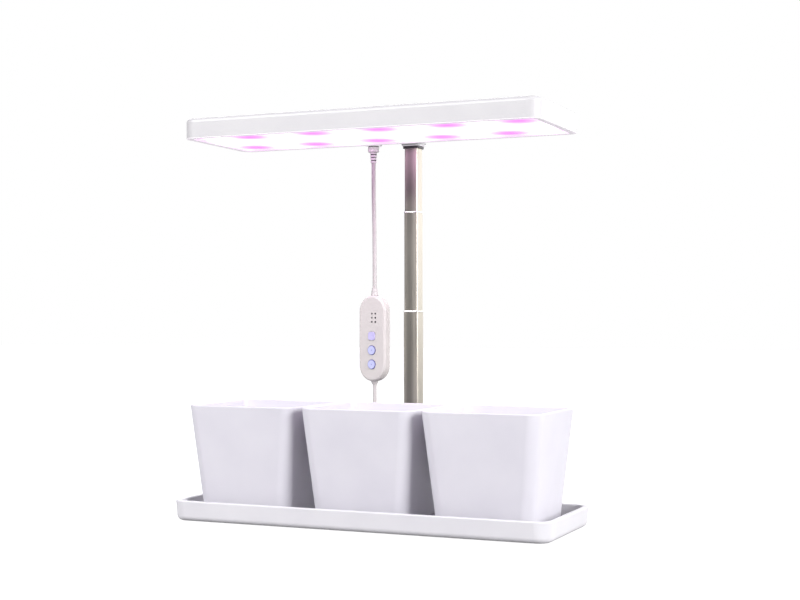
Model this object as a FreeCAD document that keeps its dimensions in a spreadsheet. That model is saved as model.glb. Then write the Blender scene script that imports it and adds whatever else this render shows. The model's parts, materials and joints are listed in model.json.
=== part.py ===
import FreeCAD, Part
import math
import os

import Sketcher

# Countertop garden: a lamp bar on a telescoping pole over three pots in a drip tray.
# Millimetres. +Z is up, +X runs along the tray, -Y is the front. The origin is on the table,
# under the middle of the tray.

os.makedirs("parts", exist_ok=True)
DOC = FreeCAD.newDocument("countertop_garden")

# Driving sizes: name, value, meaning
SIZE_TABLE = [
    ("tray_end", 13.3, "tray rim beyond the outer pots' rims"),
    ("tray_side", 9.0, "tray rim in front of and behind the pots' rims"),
    ("tray_height", 20.3, "drip tray from its underside to the rim"),
    ("tray_stand", 0.8, "how far the pads hold the tray off the table"),
    ("tray_corner", 16.0, "plan radius of the rim's corners"),
    ("tray_draft", 1.8, "how far each side leans in from rim to underside"),
    ("tray_wall", 2.4, "tray wall"),
    ("tray_floor", 2.6, "tray floor"),
    ("tray_edge", 5.5, "round along the tray's lower edge"),
    ("tray_cove", 2.4, "bevel inside along the tray's floor"),
    ("rim_bevel", 0.9, "bevel on the rim of the tray and on other small edges"),
    ("rib_height", 2.6, "drain ribs above the tray's floor"),
    ("rib_width", 2.4, "drain rib"),
    ("rib_pitch", 21.0, "spacing of the drain ribs"),
    ("rib_count", 5, "number of drain ribs"),
    ("pad_diameter", 16.0, "anti-slip pad"),
    ("pad_recess", 0.6, "depth of a pad's seat in the tray"),
    ("pad_inset_x", 36.0, "pad centre from the tray's end"),
    ("pad_inset_y", 22.0, "pad centre from the tray's long side"),
    ("seat_gap", 0.1, "gap between pieces that seat on each other"),
    ("pole_behind", 21.0, "pole axis behind the tray's rim"),
    ("lug_width", 46.0, "tray lug that carries the pole"),
    ("lug_height", 15.0, "tray lug"),
    ("lug_behind", 17.0, "tray lug behind the pole axis"),
    ("lug_corner", 9.0, "plan radius of the tray lug"),
    ("socket_top", 46.0, "top of the pole socket above the table"),
    ("socket_wall", 3.2, "wall of the pole sockets"),
    ("socket_floor", 6.8, "floor of the pole socket above the table"),
    ("gusset_reach", 7.0, "socket gusset, outwards"),
    ("gusset_thick", 3.0, "socket gusset"),
    ("tube_side", 15.1, "side of the upper, thinnest tube"),
    ("tube_corner", 2.3, "outside corner radius of the tubes"),
    ("tube_wall", 0.3, "tube wall"),
    ("slide_gap", 0.08, "gap between one tube and the next, each side"),
    ("tube_chamfer", 0.15, "chamfer on the tubes' top edges"),
    ("lower_top", 213.9, "top of the lower tube above the table"),
    ("middle_top", 319.3, "top of the middle tube above the table"),
    ("drop_middle", 60.0, "how far the middle tube can go down"),
    ("drop_upper", 54.0, "how far the upper tube can go down"),
    ("stop_gap", 0.5, "gap left at the end of each downward travel"),
    ("plug_height", 18.0, "plug in the tube's foot and in its head"),
    ("glide_flange", 6.0, "glide under a tube, the part that runs in the next tube"),
    ("glide_stem", 10.0, "glide, the part inside its own tube"),
    ("screw_shank", 3.9, "pole screws"),
    ("screw_bore", 4.0, "bore of the pole plugs"),
    ("screw_way", 4.5, "clearance hole for the pole screws"),
    ("screw_head", 7.2, "head of the pole screws"),
    ("screw_head_height", 2.2, "head of the pole screws"),
    ("screw_sink", 10.2, "sunk seat of the pole screws"),
    ("washer_diameter", 9.4, "washer under a pole screw"),
    ("washer_thick", 0.8, "washer under a pole screw"),
    ("pot_top", 120.0, "pot over the rim, square"),
    ("pot_base", 98.0, "pot over the base, square"),
    ("pot_height", 111.6, "pot"),
    ("pot_corner", 12.0, "round on the pot's upright edges"),
    ("pot_wall", 2.4, "pot wall and floor"),
    ("pot_lift", 2.0, "pot floor above its foot"),
    ("pot_bevel", 1.0, "bevel on the pot's rim"),
    ("pot_foot_bevel", 2.0, "bevel round the pot's lower edge"),
    ("pot_gap", 8.2, "gap between two pots at their rims"),
    ("foot_notch", 16.0, "drain notch in the pot's foot"),
    ("foot_rim", 4.0, "width of the pot's foot rim"),
    ("drain_hole", 7.0, "pot drain hole"),
    ("drain_pitch", 26.0, "spacing of the drain holes"),
    ("lamp_under", 389.0, "underside of the lamp above the table"),
    ("lamp_length", 381.0, "lamp, left to right"),
    ("lamp_depth", 129.0, "lamp, front to back"),
    ("lamp_height", 20.9, "lamp"),
    ("lamp_corner", 12.0, "plan radius of the lamp's corners"),
    ("lamp_edge", 4.5, "round along the lamp's top edge"),
    ("lamp_wall", 2.2, "lamp housing wall"),
    ("head_lug_width", 23.0, "lug at the back of the lamp that holds the pole"),
    ("head_lug_height", 15.0, "the same lug"),
    ("head_lug_rise", 2.5, "arm of the lug above the lamp's underside"),
    ("head_socket_depth", 13.2, "depth of the pole's socket in the lug"),
    ("collar_grow", 1.6, "dark collar beyond the upper tube, each side"),
    ("collar_height", 2.5, "dark collar"),
    ("bezel_width", 5.0, "frame round the diffuser"),
    ("bezel_height", 3.4, "frame round the diffuser"),
    ("bezel_lip", 2.0, "ledge under the diffuser"),
    ("bezel_lip_height", 1.4, "ledge under the diffuser"),
    ("clip_length", 14.0, "bezel clip"),
    ("clip_thick", 1.2, "bezel clip"),
    ("clip_rise", 5.0, "bezel clip"),
    ("clip_count", 4, "clips along each long side of the bezel"),
    ("diffuser_thick", 1.9, "diffuser sheet"),
    ("board_rise", 10.0, "LED board above the lamp's underside"),
    ("board_thick", 1.6, "LED board"),
    ("board_inset", 6.0, "LED board inside the housing wall"),
    ("grow_side", 5.0, "coloured LED package"),
    ("led_height", 0.9, "LED package"),
    ("white_pitch", 24.0, "spacing of the white LEDs along a row"),
    ("white_count", 14, "white LEDs in a row"),
    ("white_row", 24.0, "spacing of the rows of white LEDs"),
    ("white_rows", 4, "rows of white LEDs"),
    ("white_side", 3.5, "white LED package"),
    ("grow_pitch", 72.0, "spacing of the coloured LEDs along a row"),
    ("grow_count", 5, "coloured LEDs in a row"),
    ("grow_row", 36.0, "rows of coloured LEDs from the lamp's middle"),
    ("grow_shift", 18.0, "sideways shift of each row of coloured LEDs"),
    ("board_boss", 7.0, "boss for a board screw"),
    ("board_screw", 2.4, "board screw"),
    ("board_screw_head", 5.0, "head of a board screw"),
    ("board_screw_rise", 1.5, "head of a board screw"),
    ("gland_left", 38.2, "cord gland to the left of the pole"),
    ("gland_behind", 7.0, "cord gland behind the lamp"),
    ("gland_cap", 11.9, "gland cap"),
    ("gland_cap_height", 6.3, "gland cap"),
    ("gland_stem", 7.6, "gland stem in the lamp's boss"),
    ("gland_stem_height", 6.0, "gland stem"),
    ("gland_neck", 7.8, "ribbed neck at the cap"),
    ("gland_tip", 6.4, "ribbed neck at its tip"),
    ("gland_neck_height", 11.4, "ribbed neck"),
    ("gland_groove", 1.1, "groove between the neck's ribs"),
    ("gland_groove_pitch", 3.1, "spacing of the grooves"),
    ("gland_groove_up", 1.9, "first groove above the neck's tip"),
    ("cord_diameter", 4.4, "cord"),
    ("cord_sides", 8, "flat sides of the plain cord's section"),
    ("control_width", 34.0, "controller"),
    ("control_height", 91.0, "controller"),
    ("control_half", 5.5, "half of the controller's thickness"),
    ("control_drop", 204.2, "controller's middle below the lamp"),
    ("control_shift", 1.2, "controller to the right of the gland"),
    ("control_split", 1.0, "seam behind the controller's middle"),
    ("control_wall", 1.5, "controller wall"),
    ("control_round", 2.5, "round on the controller's faces"),
    ("control_board", 18.7, "controller's board, its width"),
    ("control_board_high", 79.0, "controller's board, its height"),
    ("control_turn", 11.0, "how far the controller hangs turned, degrees"),
    ("button_diameter", 9.9, "round button"),
    ("button_square", 8.6, "square power button"),
    ("button_proud", 0.8, "button above the controller's face"),
    ("button_gap", 0.3, "gap round and under a button"),
    ("button_flange", 1.1, "flange beyond a button"),
    ("button_flange_thick", 0.8, "flange of a button"),
    ("button_top", 2.4, "power button above the controller's middle"),
    ("button_pitch", 15.0, "spacing of the buttons"),
    ("lens_diameter", 1.9, "indicator lens"),
    ("lens_pitch", 4.4, "spacing of the lenses"),
    ("lens_middle", 21.8, "middle row of lenses above the controller's middle"),
    ("lens_right", 2.5, "lens columns right of the controller's middle"),
    ("switch_side", 6.0, "switch under a button"),
    ("switch_height", 2.2, "switch under a button"),
    ("post_inset_top", 10.5, "upper screw post from the controller's end"),
    ("post_inset_foot", 8.0, "lower screw post from the controller's end"),
    ("relief_neck", 6.0, "strain relief in the controller's wall"),
    ("relief_flange", 7.6, "strain relief inside the wall"),
    ("relief_root", 8.0, "strain relief outside, at the wall"),
    ("relief_tip", 5.6, "strain relief outside, at its tip"),
    ("relief_long", 8.0, "upper strain relief"),
    ("relief_short", 3.0, "lower strain relief"),
    ("coil_pitch", 4.9, "spacing of the coil's turns"),
    ("coil_rise", 6.2, "spacing of the coil's layers"),
    ("coil_draw", 7.8, "how far the coil draws in as it climbs"),
    ("coil_radius", 31.0, "coil's outer turn, to the cord's middle"),
    ("coil_left", 70.0, "coil's middle to the left of the tray's middle"),
    ("coil_back", 122.0, "coil's middle behind the tray's middle"),
    ("coil_half_turns", 5, "half turns from the coil's outside in"),
    ("plug_width", 15.6, "moulded plug"),
    ("plug_depth", 8.2, "moulded plug, its thickness"),
    ("plug_length", 20.0, "moulded plug"),
    ("plug_corner", 2.0, "corners of the moulded plug"),
    ("plug_relief", 9.0, "strain relief on the plug"),
    ("shell_width", 12.0, "metal shell of the plug"),
    ("shell_depth", 4.5, "metal shell of the plug, its thickness"),
    ("shell_length", 18.5, "metal shell of the plug"),
    ("shell_wall", 0.3, "metal shell of the plug"),
    ("tongue_depth", 1.8, "tongue in the plug's shell"),
]

sheet = DOC.addObject("Spreadsheet::Sheet", "Sizes")
for row, (name, value, meaning) in enumerate(SIZE_TABLE, start=1):
    sheet.set(f"A{row}", meaning)
    sheet.set(f"B{row}", str(value))
    sheet.setAlias(f"B{row}", name)
DOC.recompute()


class Size:
    """A number and the sheet formula that gives it, so one sum in the code makes both."""

    def __init__(self, value, formula):
        self.value = value
        self.formula = formula

    def __add__(self, other):
        other = as_size(other)
        return Size(self.value + other.value, f"({self.formula} + {other.formula})")

    def __sub__(self, other):
        other = as_size(other)
        return Size(self.value - other.value, f"({self.formula} - {other.formula})")

    def __mul__(self, other):
        other = as_size(other)
        return Size(self.value * other.value, f"({self.formula} * {other.formula})")

    def __truediv__(self, other):
        other = as_size(other)
        return Size(self.value / other.value, f"({self.formula} / {other.formula})")

    def __rsub__(self, other):
        return as_size(other) - self

    def __neg__(self):
        return as_size(0.0) - self

    __radd__ = __add__
    __rmul__ = __mul__


def as_size(number):
    """Any plain number as a Size."""
    return number if isinstance(number, Size) else Size(float(number), f"({float(number):.6f})")


class Sizes:
    """Every cell of the sheet, by its name."""

    def __getattr__(self, name):
        return Size(float(sheet.get(name)), f"Sizes.{name}")


s = Sizes()
PIECES = []


def bind(item, prop, size):
    """Tie a property of an object to the sheet."""
    item.setExpression(prop, as_size(size).formula)


def new_body(label, several=False):
    """A body that becomes one piece; several lets it hold a group of separate solids."""
    body = DOC.addObject("PartDesign::Body", label)
    body.Label = label
    body.AllowCompound = several
    PIECES.append(body)
    return body


def place(item, x=0.0, y=0.0, z=0.0):
    """Put an object at a place tied to the sheet."""
    for axis, size in (("x", x), ("y", y), ("z", z)):
        bind(item, f"Placement.Base.{axis}", size)


def new_sketch(body, x=0.0, y=0.0, up=0.0, plane="XY_Plane"):
    """A sketch on an origin plane, shifted in it by x and y and off it by up."""
    sketch = body.newObject("Sketcher::SketchObject", f"{body.Label}_sketch")
    base = next(item for item in body.Origin.OriginFeatures if item.Role == plane)
    sketch.AttachmentSupport = [(base, "")]
    sketch.MapMode = "FlatFace"
    for axis, size in (("x", x), ("y", y), ("z", up)):
        bind(sketch, f"AttachmentOffset.Base.{axis}", size)
    return sketch


def measure(sketch, kind, *refs):
    """Add a driving dimension whose last argument is a Size."""
    size = as_size(refs[-1])
    index = sketch.addConstraint(Sketcher.Constraint(kind, *refs[:-1], size.value))
    sketch.setExpression(f"Constraints[{index}]", size.formula)


def pin_point(sketch, edge, end, x, y):
    """Hold a point of a sketch at x and y from the sketch's origin."""
    for kind, size, axis in (("DistanceX", as_size(x), -2), ("DistanceY", as_size(y), -1)):
        if size.value == 0:
            sketch.addConstraint(Sketcher.Constraint("PointOnObject", edge, end, axis))
        elif size.value > 0:
            measure(sketch, kind, -1, 1, edge, end, size)
        else:
            measure(sketch, kind, edge, end, -1, 1, -size)


def rounded_rectangle(sketch, width, depth, radius):
    """A rectangle with rounded corners about the sketch's origin."""
    half_w = as_size(width).value / 2
    half_d = as_size(depth).value / 2
    r = as_size(radius).value
    flat = FreeCAD.Vector
    corners = [(half_w - r, r - half_d, -90), (half_w - r, half_d - r, 0),
               (r - half_w, half_d - r, 90), (r - half_w, r - half_d, 180)]
    edges = []
    for x, y, start in corners:
        circle = Part.Circle(flat(x, y, 0), flat(0, 0, 1), r)
        arc = Part.ArcOfCircle(circle, math.radians(start), math.radians(start + 90))
        edges.append(sketch.addGeometry(arc, False))
    ends = [(half_w - r, -half_d), (half_w, r - half_d), (half_w, half_d - r), (half_w - r, half_d),
            (r - half_w, half_d), (-half_w, half_d - r), (-half_w, r - half_d), (r - half_w, -half_d)]
    sides = []
    for first, last in ((1, 2), (3, 4), (5, 6), (7, 0)):
        line = Part.LineSegment(flat(*ends[first], 0), flat(*ends[last], 0))
        sides.append(sketch.addGeometry(line, False))
    for turn in range(4):
        sketch.addConstraint(Sketcher.Constraint("Tangent", edges[turn], 2, sides[turn], 1))
        sketch.addConstraint(Sketcher.Constraint("Tangent", sides[turn], 2, edges[(turn + 1) % 4], 1))
        sketch.addConstraint(Sketcher.Constraint("Horizontal" if turn % 2 else "Vertical", sides[turn]))
    for edge in edges[1:]:
        sketch.addConstraint(Sketcher.Constraint("Equal", edges[0], edge))
    sketch.addConstraint(Sketcher.Constraint("Symmetric", sides[0], 1, sides[2], 1, -1, 1))
    measure(sketch, "DistanceX", sides[2], 1, sides[0], 1, width)
    measure(sketch, "DistanceY", sides[3], 1, sides[1], 1, depth)
    measure(sketch, "Radius", edges[0], radius)
    return sketch


def circles(sketch, diameter, places=((0.0, 0.0),)):
    """Equal circles at the given places."""
    for x, y in places:
        x, y = as_size(x), as_size(y)
        centre = FreeCAD.Vector(x.value, y.value, 0)
        circle = Part.Circle(centre, FreeCAD.Vector(0, 0, 1), as_size(diameter).value / 2)
        edge = sketch.addGeometry(circle, False)
        pin_point(sketch, edge, 3, x, y)
        measure(sketch, "Diameter", edge, diameter)
    return sketch


def polygon(sketch, points):
    """A closed outline of straight sides through the given points."""
    points = [(as_size(x), as_size(y)) for x, y in points]
    count = len(points)
    for index, (x, y) in enumerate(points):
        next_x, next_y = points[(index + 1) % count]
        start = FreeCAD.Vector(x.value, y.value, 0)
        end = FreeCAD.Vector(next_x.value, next_y.value, 0)
        sketch.addGeometry(Part.LineSegment(start, end), False)
    for index, (x, y) in enumerate(points):
        sketch.addConstraint(Sketcher.Constraint("Coincident", index - 1 if index else count - 1, 2, index, 1))
        pin_point(sketch, index, 1, x, y)
    return sketch


def rectangle(sketch, width, depth):
    """A rectangle with sharp corners about the sketch's origin."""
    half_w, half_d = as_size(width) / 2, as_size(depth) / 2
    return polygon(sketch, [(-half_w, -half_d), (half_w, -half_d), (half_w, half_d), (-half_w, half_d)])


def solid_step(body, kind, sketch, length, back=False, both=False):
    """A pad or a pocket of a sketch; back turns it round and both centres it on the sketch."""
    before = body.Shape.Volume if body.Tip else 0.0
    feature = body.newObject(f"PartDesign::{kind}", f"{body.Label}_{kind.lower()}")
    feature.Profile = sketch
    feature.Reversed = back
    if both:
        feature.SideType = "Symmetric"
    bind(feature, "Length", length)
    DOC.recompute()
    change = body.Shape.Volume - before
    assert change > 0 if kind == "Pad" else change < 0, f"{feature.Name} changed nothing"
    return feature


def pad(body, sketch, length, **ways):
    """Add material along a sketch's normal."""
    return solid_step(body, "Pad", sketch, length, **ways)


def pocket(body, sketch, length, **ways):
    """Cut material away below a sketch, or above it when turned back."""
    return solid_step(body, "Pocket", sketch, length, **ways)


def slope(rise, run):
    """The angle of a wall that leans out by rise over a height of run."""
    angle = math.degrees(math.atan(rise.value / run.value))
    return Size(angle, f"atan({rise.formula} / {run.formula})")


def lean_out(body, height, angle, test):
    """Lean the upright faces that pass a test outwards above a level face at a height."""
    tip = body.Tip
    faces = list(enumerate(tip.Shape.Faces, start=1))
    still = next(index for index, face in faces if level(face, as_size(height).value))
    names = [f"Face{index}" for index, face in faces if face.BoundBox.ZLength > 1 and test(face)]
    feature = body.newObject("PartDesign::Draft", f"{body.Label}_draft")
    feature.Base = (tip, names)
    feature.NeutralPlane = (tip, [f"Face{still}"])
    feature.Reversed = True
    bind(feature, "Angle", angle)
    DOC.recompute()
    return feature


def edges_where(shape, test):
    """Names of the edges that pass a test."""
    return [f"Edge{index}" for index, edge in enumerate(shape.Edges, start=1) if test(edge)]


def level(part, height):
    """Whether an edge or a face lies flat at a height."""
    spots = [vertex.Point for vertex in part.Vertexes] + [part.CenterOfMass]
    return all(abs(spot.z - height) < 1e-3 for spot in spots)


def soften(body, kind, test, size):
    """Fillet or chamfer the edges of a body's tip that pass a test."""
    tip = body.Tip
    names = edges_where(tip.Shape, test)
    feature = body.newObject(f"PartDesign::{kind}", f"{body.Label}_{kind.lower()}")
    feature.Base = (tip, names)
    bind(feature, "Radius" if kind == "Fillet" else "Size", size)
    DOC.recompute()
    return feature


def revolve(body, sketch, axis="V_Axis", cut=False):
    """A full turn of a sketch about one of its axes."""
    feature = body.newObject("PartDesign::Groove" if cut else "PartDesign::Revolution",
                             f"{body.Label}_turned")
    feature.Profile = sketch
    feature.ReferenceAxis = (sketch, [axis])
    feature.Angle = 360
    DOC.recompute()
    return feature


def origin_part(body, role):
    """One of a body's own origin planes or axes."""
    return next(item for item in body.Origin.OriginFeatures if item.Role == role)


def repeat(body, original, role, spacing, count):
    """Repeat a feature along one of a body's axes."""
    feature = body.newObject("PartDesign::LinearPattern", f"{body.Label}_row")
    feature.Originals = [original]
    feature.Direction = (origin_part(body, role), [""])
    feature.Mode = "Spacing"
    bind(feature, "Offset", spacing)
    bind(feature, "Occurrences", count)
    body.Tip = feature
    DOC.recompute()
    return feature


# Places that several pieces share
pot_pitch = s.pot_top + s.pot_gap
tray_length = pot_pitch * 2 + s.pot_top + s.tray_end * 2
tray_depth = s.pot_top + s.tray_side * 2
pole_back = tray_depth / 2 + s.pole_behind
gland_back = s.lamp_depth / 2 + s.gland_behind
tray_rim = s.tray_stand + s.tray_height
rib_top = s.tray_stand + s.tray_floor + s.rib_height
middle_side = s.tube_side + (s.tube_wall + s.slide_gap) * 2
lower_side = middle_side + (s.tube_wall + s.slide_gap) * 2
bore_corner = s.tube_corner - s.tube_wall
plug_top = s.socket_floor + s.plug_height
middle_glide_under = plug_top + s.drop_middle + s.stop_gap
middle_bottom = middle_glide_under + s.glide_flange
upper_glide_under = middle_bottom + s.glide_stem + s.drop_upper + s.stop_gap
upper_bottom = upper_glide_under + s.glide_flange
upper_top = s.lamp_under + s.head_socket_depth - s.seat_gap


def make_tray():
    """The drip tray: drafted walls, coved floor, drain ribs, rear lug and pole socket."""
    body = new_body("drip_tray")
    draft_angle = slope(s.tray_draft, s.tray_height)
    under_width = tray_length - s.tray_draft * 2
    under_depth = tray_depth - s.tray_draft * 2
    under = rounded_rectangle(new_sketch(body, up=s.tray_stand), under_width, under_depth,
                              s.tray_corner - s.tray_draft)
    pad(body, under, s.tray_height)
    lean_out(body, s.tray_stand, draft_angle, lambda face: True)
    soften(body, "Fillet", lambda edge: level(edge, s.tray_stand.value), s.tray_edge)

    lug_front = tray_depth / 2 - s.tray_edge * 2
    lug_depth = pole_back + s.lug_behind - lug_front
    lug = rounded_rectangle(new_sketch(body, y=lug_front + lug_depth / 2, up=s.tray_stand),
                            s.lug_width, lug_depth, s.lug_corner)
    pad(body, lug, s.lug_height)
    socket_side = lower_side + (s.seat_gap + s.socket_wall) * 2
    lug_top = s.tray_stand + s.lug_height
    socket = rounded_rectangle(new_sketch(body, y=pole_back, up=s.tray_stand), socket_side, socket_side,
                               s.tube_corner + s.socket_wall)
    pad(body, socket, s.socket_top - s.tray_stand)
    soften(body, "Chamfer", lambda edge: level(edge, s.socket_top.value), s.rim_bevel)
    gusset = polygon(new_sketch(body, up=-pole_back, plane="XZ_Plane"), [
        (-(socket_side / 2 + s.gusset_reach), lug_top - s.rim_bevel),
        (socket_side / 2 + s.gusset_reach, lug_top - s.rim_bevel),
        (socket_side / 2 - s.rim_bevel, s.socket_top - s.socket_wall * 2),
        (-(socket_side / 2 - s.rim_bevel), s.socket_top - s.socket_wall * 2)])
    pad(body, gusset, s.gusset_thick, both=True)

    floor_up = s.tray_stand + s.tray_floor
    lean = s.tray_draft * s.tray_floor / s.tray_height
    hollow = rounded_rectangle(new_sketch(body, up=floor_up),
                               under_width + (lean - s.tray_wall) * 2,
                               under_depth + (lean - s.tray_wall) * 2,
                               s.tray_corner - s.tray_draft + lean - s.tray_wall)
    pocket(body, hollow, s.tray_height - s.tray_floor, back=True)
    inner_x = under_width.value / 2 - s.tray_wall.value * 0.4
    inner_y = under_depth.value / 2 - s.tray_wall.value * 0.4
    lean_out(body, floor_up, draft_angle,
             lambda face: abs(face.BoundBox.XMin) < inner_x and face.BoundBox.XMax < inner_x
             and abs(face.BoundBox.YMin) < inner_y and face.BoundBox.YMax < inner_y
             and level_span(face, floor_up.value, tray_rim.value))
    soften(body, "Chamfer", lambda edge: level(edge, floor_up.value), s.tray_cove)
    soften(body, "Chamfer", lambda edge: level(edge, tray_rim.value), s.rim_bevel)

    rib_length = tray_length - (s.tray_draft + s.tray_wall + s.tray_corner) * 2
    first_rib = -(s.rib_pitch * (s.rib_count - 1) / 2)
    rib = rectangle(new_sketch(body, y=first_rib, up=floor_up), rib_length, s.rib_width)
    ribs = pad(body, rib, s.rib_height)
    repeat(body, ribs, "Y_Axis", s.rib_pitch, s.rib_count)

    bore = rounded_rectangle(new_sketch(body, y=pole_back, up=s.socket_floor),
                             lower_side + s.seat_gap * 2, lower_side + s.seat_gap * 2, s.tube_corner)
    pocket(body, bore, s.socket_top - s.socket_floor, back=True)
    pocket(body, circles(new_sketch(body, y=pole_back, up=s.tray_stand), s.screw_way),
           s.socket_floor - s.tray_stand, back=True)
    pocket(body, circles(new_sketch(body, y=pole_back, up=s.tray_stand), s.screw_sink),
           s.screw_head_height + s.washer_thick + s.pad_recess, back=True)
    pocket(body, circles(new_sketch(body, up=s.tray_stand), s.pad_diameter + s.seat_gap * 2, pad_places()),
           s.pad_recess, back=True)


def level_span(face, low, high):
    """Whether a face reaches from one height to another."""
    heights = [vertex.Z for vertex in face.Vertexes]
    return abs(min(heights) - low) < 1e-3 and abs(max(heights) - high) < 1e-3


def pad_places():
    """Centres of the five anti-slip pads."""
    along = tray_length / 2 - s.pad_inset_x
    across = tray_depth / 2 - s.pad_inset_y
    return [(0.0, 0.0), (along, across), (along, -across), (-along, across), (-along, -across)]


def make_pads():
    """Anti-slip pads, set in the tray's underside."""
    body = new_body("tray_pads", several=True)
    pad(body, circles(new_sketch(body), s.pad_diameter, pad_places()), s.tray_stand + s.pad_recess)


def make_pot(label, side):
    """One tapered pot with a rounded rim, a foot rim, drain notches and drain holes."""
    body = new_body(label)
    taper = slope((s.pot_top - s.pot_base) / 2, s.pot_height)
    lift_side = s.pot_base + (s.pot_top - s.pot_base) * s.pot_lift / s.pot_height
    pad(body, rectangle(new_sketch(body, up=s.pot_lift), lift_side, lift_side), s.pot_height - s.pot_lift)
    lean_out(body, s.pot_lift, taper, lambda face: True)
    soften(body, "Fillet", lambda edge: edge.BoundBox.ZLength > s.pot_height.value / 2, s.pot_corner)
    block = body.Tip
    top = next(index for index, face in enumerate(block.Shape.Faces, start=1)
               if level(face, s.pot_height.value))
    shell = body.newObject("PartDesign::Thickness", f"{label}_wall")
    shell.Base = (block, [f"Face{top}"])
    shell.Reversed = True
    bind(shell, "Value", s.pot_wall)
    DOC.recompute()
    soften(body, "Chamfer", lambda edge: level(edge, s.pot_height.value), s.pot_bevel)
    soften(body, "Chamfer", lambda edge: level(edge, s.pot_lift.value), s.pot_foot_bevel)
    foot = s.pot_base - s.foot_rim * 2
    foot_height = s.pot_lift + s.pot_wall / 2
    pad(body, rounded_rectangle(new_sketch(body), foot, foot, s.pot_corner - s.foot_rim), foot_height)
    inner = foot - s.foot_rim * 2
    pocket(body, rounded_rectangle(new_sketch(body), inner, inner, s.pot_corner - s.foot_rim * 2),
           s.pot_lift, back=True)
    notch_corner = s.foot_notch / 4
    for width, depth in ((s.pot_base * 2, s.foot_notch), (s.foot_notch, s.pot_base * 2)):
        pocket(body, rounded_rectangle(new_sketch(body), width, depth, notch_corner), s.pot_lift, back=True)
    steps = (-s.drain_pitch, s.drain_pitch)
    holes = circles(new_sketch(body), s.drain_hole, [(0.0, 0.0)] + [(x, y) for x in steps for y in steps])
    pocket(body, holes, s.pot_lift + s.pot_wall * 2, back=True)
    place(body, x=pot_pitch * side, z=rib_top + s.seat_gap)


def make_tube(label, side, bottom, top):
    """One thin square tube of the pole, chamfered at its top."""
    body = new_body(label)
    pad(body, rounded_rectangle(new_sketch(body), side, side, s.tube_corner), top - bottom)
    soften(body, "Chamfer", lambda edge: level(edge, (top - bottom).value), s.tube_chamfer)
    bore = side - s.tube_wall * 2
    pocket(body, rounded_rectangle(new_sketch(body), bore, bore, bore_corner), top - bottom, back=True)
    place(body, y=pole_back, z=bottom)


def make_glide(label, side, next_side, under):
    """The glide that closes a tube's foot and runs inside the next tube."""
    body = new_body(label)
    running = next_side - (s.tube_wall + s.slide_gap) * 2
    pad(body, rounded_rectangle(new_sketch(body), running, running, s.tube_corner), s.glide_flange)
    stem = side - (s.tube_wall + s.slide_gap) * 2
    pad(body, rounded_rectangle(new_sketch(body, up=s.glide_flange), stem, stem, s.tube_corner),
        s.glide_stem)
    place(body, y=pole_back, z=under)


def make_plug(label, side, under):
    """The block in a tube's end that takes the pole screw."""
    body = new_body(label)
    stem = side - (s.tube_wall + s.slide_gap) * 2
    pad(body, rounded_rectangle(new_sketch(body), stem, stem, s.tube_corner), s.plug_height)
    pocket(body, circles(new_sketch(body), s.screw_bore), s.plug_height, back=True)
    place(body, y=pole_back, z=under)


def make_pole_screw(label, seat, upside_down=False):
    """A pan head screw whose head bears on the washer."""
    body = new_body(label)
    pad(body, circles(new_sketch(body), s.screw_head), s.screw_head_height)
    soften(body, "Chamfer", lambda edge: level(edge, 0.0), s.rim_bevel)
    reach = s.socket_floor - s.tray_stand + s.plug_height / 2
    pad(body, circles(new_sketch(body, up=s.screw_head_height), s.screw_shank), reach)
    place(body, y=pole_back, z=seat)
    if upside_down:
        body.Placement.Rotation = FreeCAD.Rotation(FreeCAD.Vector(1, 0, 0), 180)


def make_washer(label, under):
    """A flat washer under a pole screw."""
    body = new_body(label)
    pad(body, circles(new_sketch(body), s.washer_diameter), s.washer_thick)
    pocket(body, circles(new_sketch(body), s.screw_way), s.washer_thick, back=True)
    place(body, y=pole_back, z=under)


def make_pole():
    """Three tubes with their glides, plugs, screws and washers, and the dark collar."""
    make_tube("lower_tube", lower_side, s.socket_floor, s.lower_top)
    make_tube("middle_tube", middle_side, middle_bottom, s.middle_top)
    make_tube("upper_tube", s.tube_side, upper_bottom, upper_top)
    make_glide("middle_glide", middle_side, lower_side, middle_glide_under)
    make_glide("upper_glide", s.tube_side, middle_side, upper_glide_under)
    make_plug("pole_foot_plug", lower_side, s.socket_floor)
    make_plug("pole_head_plug", s.tube_side, upper_top - s.plug_height)
    foot_seat = s.tray_stand + s.pad_recess
    make_pole_screw("pole_foot_screw", foot_seat)
    make_washer("pole_foot_washer", foot_seat + s.screw_head_height)
    head_seat = s.lamp_under + s.head_lug_rise + s.head_lug_height - s.pad_recess
    make_pole_screw("pole_head_screw", head_seat, upside_down=True)
    make_washer("pole_head_washer", head_seat - s.screw_head_height - s.washer_thick)

    body = new_body("pole_collar")
    collar = s.tube_side + s.collar_grow * 2
    pad(body, rounded_rectangle(new_sketch(body), collar, collar, s.tube_corner + s.collar_grow / 2),
        s.collar_height)
    way = s.tube_side + s.seat_gap * 2
    pocket(body, rounded_rectangle(new_sketch(body), way, way, s.tube_corner), s.collar_height, back=True)
    place(body, y=pole_back, z=s.lamp_under - s.collar_height)


# Heights inside the lamp, from its underside
led_under = s.board_rise - s.led_height
ceiling = s.lamp_height - s.lamp_wall


def boss_places():
    """Centres of the six board screws."""
    along = s.lamp_length / 2 - s.lamp_wall - s.board_inset - s.board_boss
    across = s.lamp_depth / 2 - s.lamp_wall - s.board_inset - s.board_boss
    return [(x, y) for x in (-along, as_size(0.0), along) for y in (-across, across)]


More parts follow.
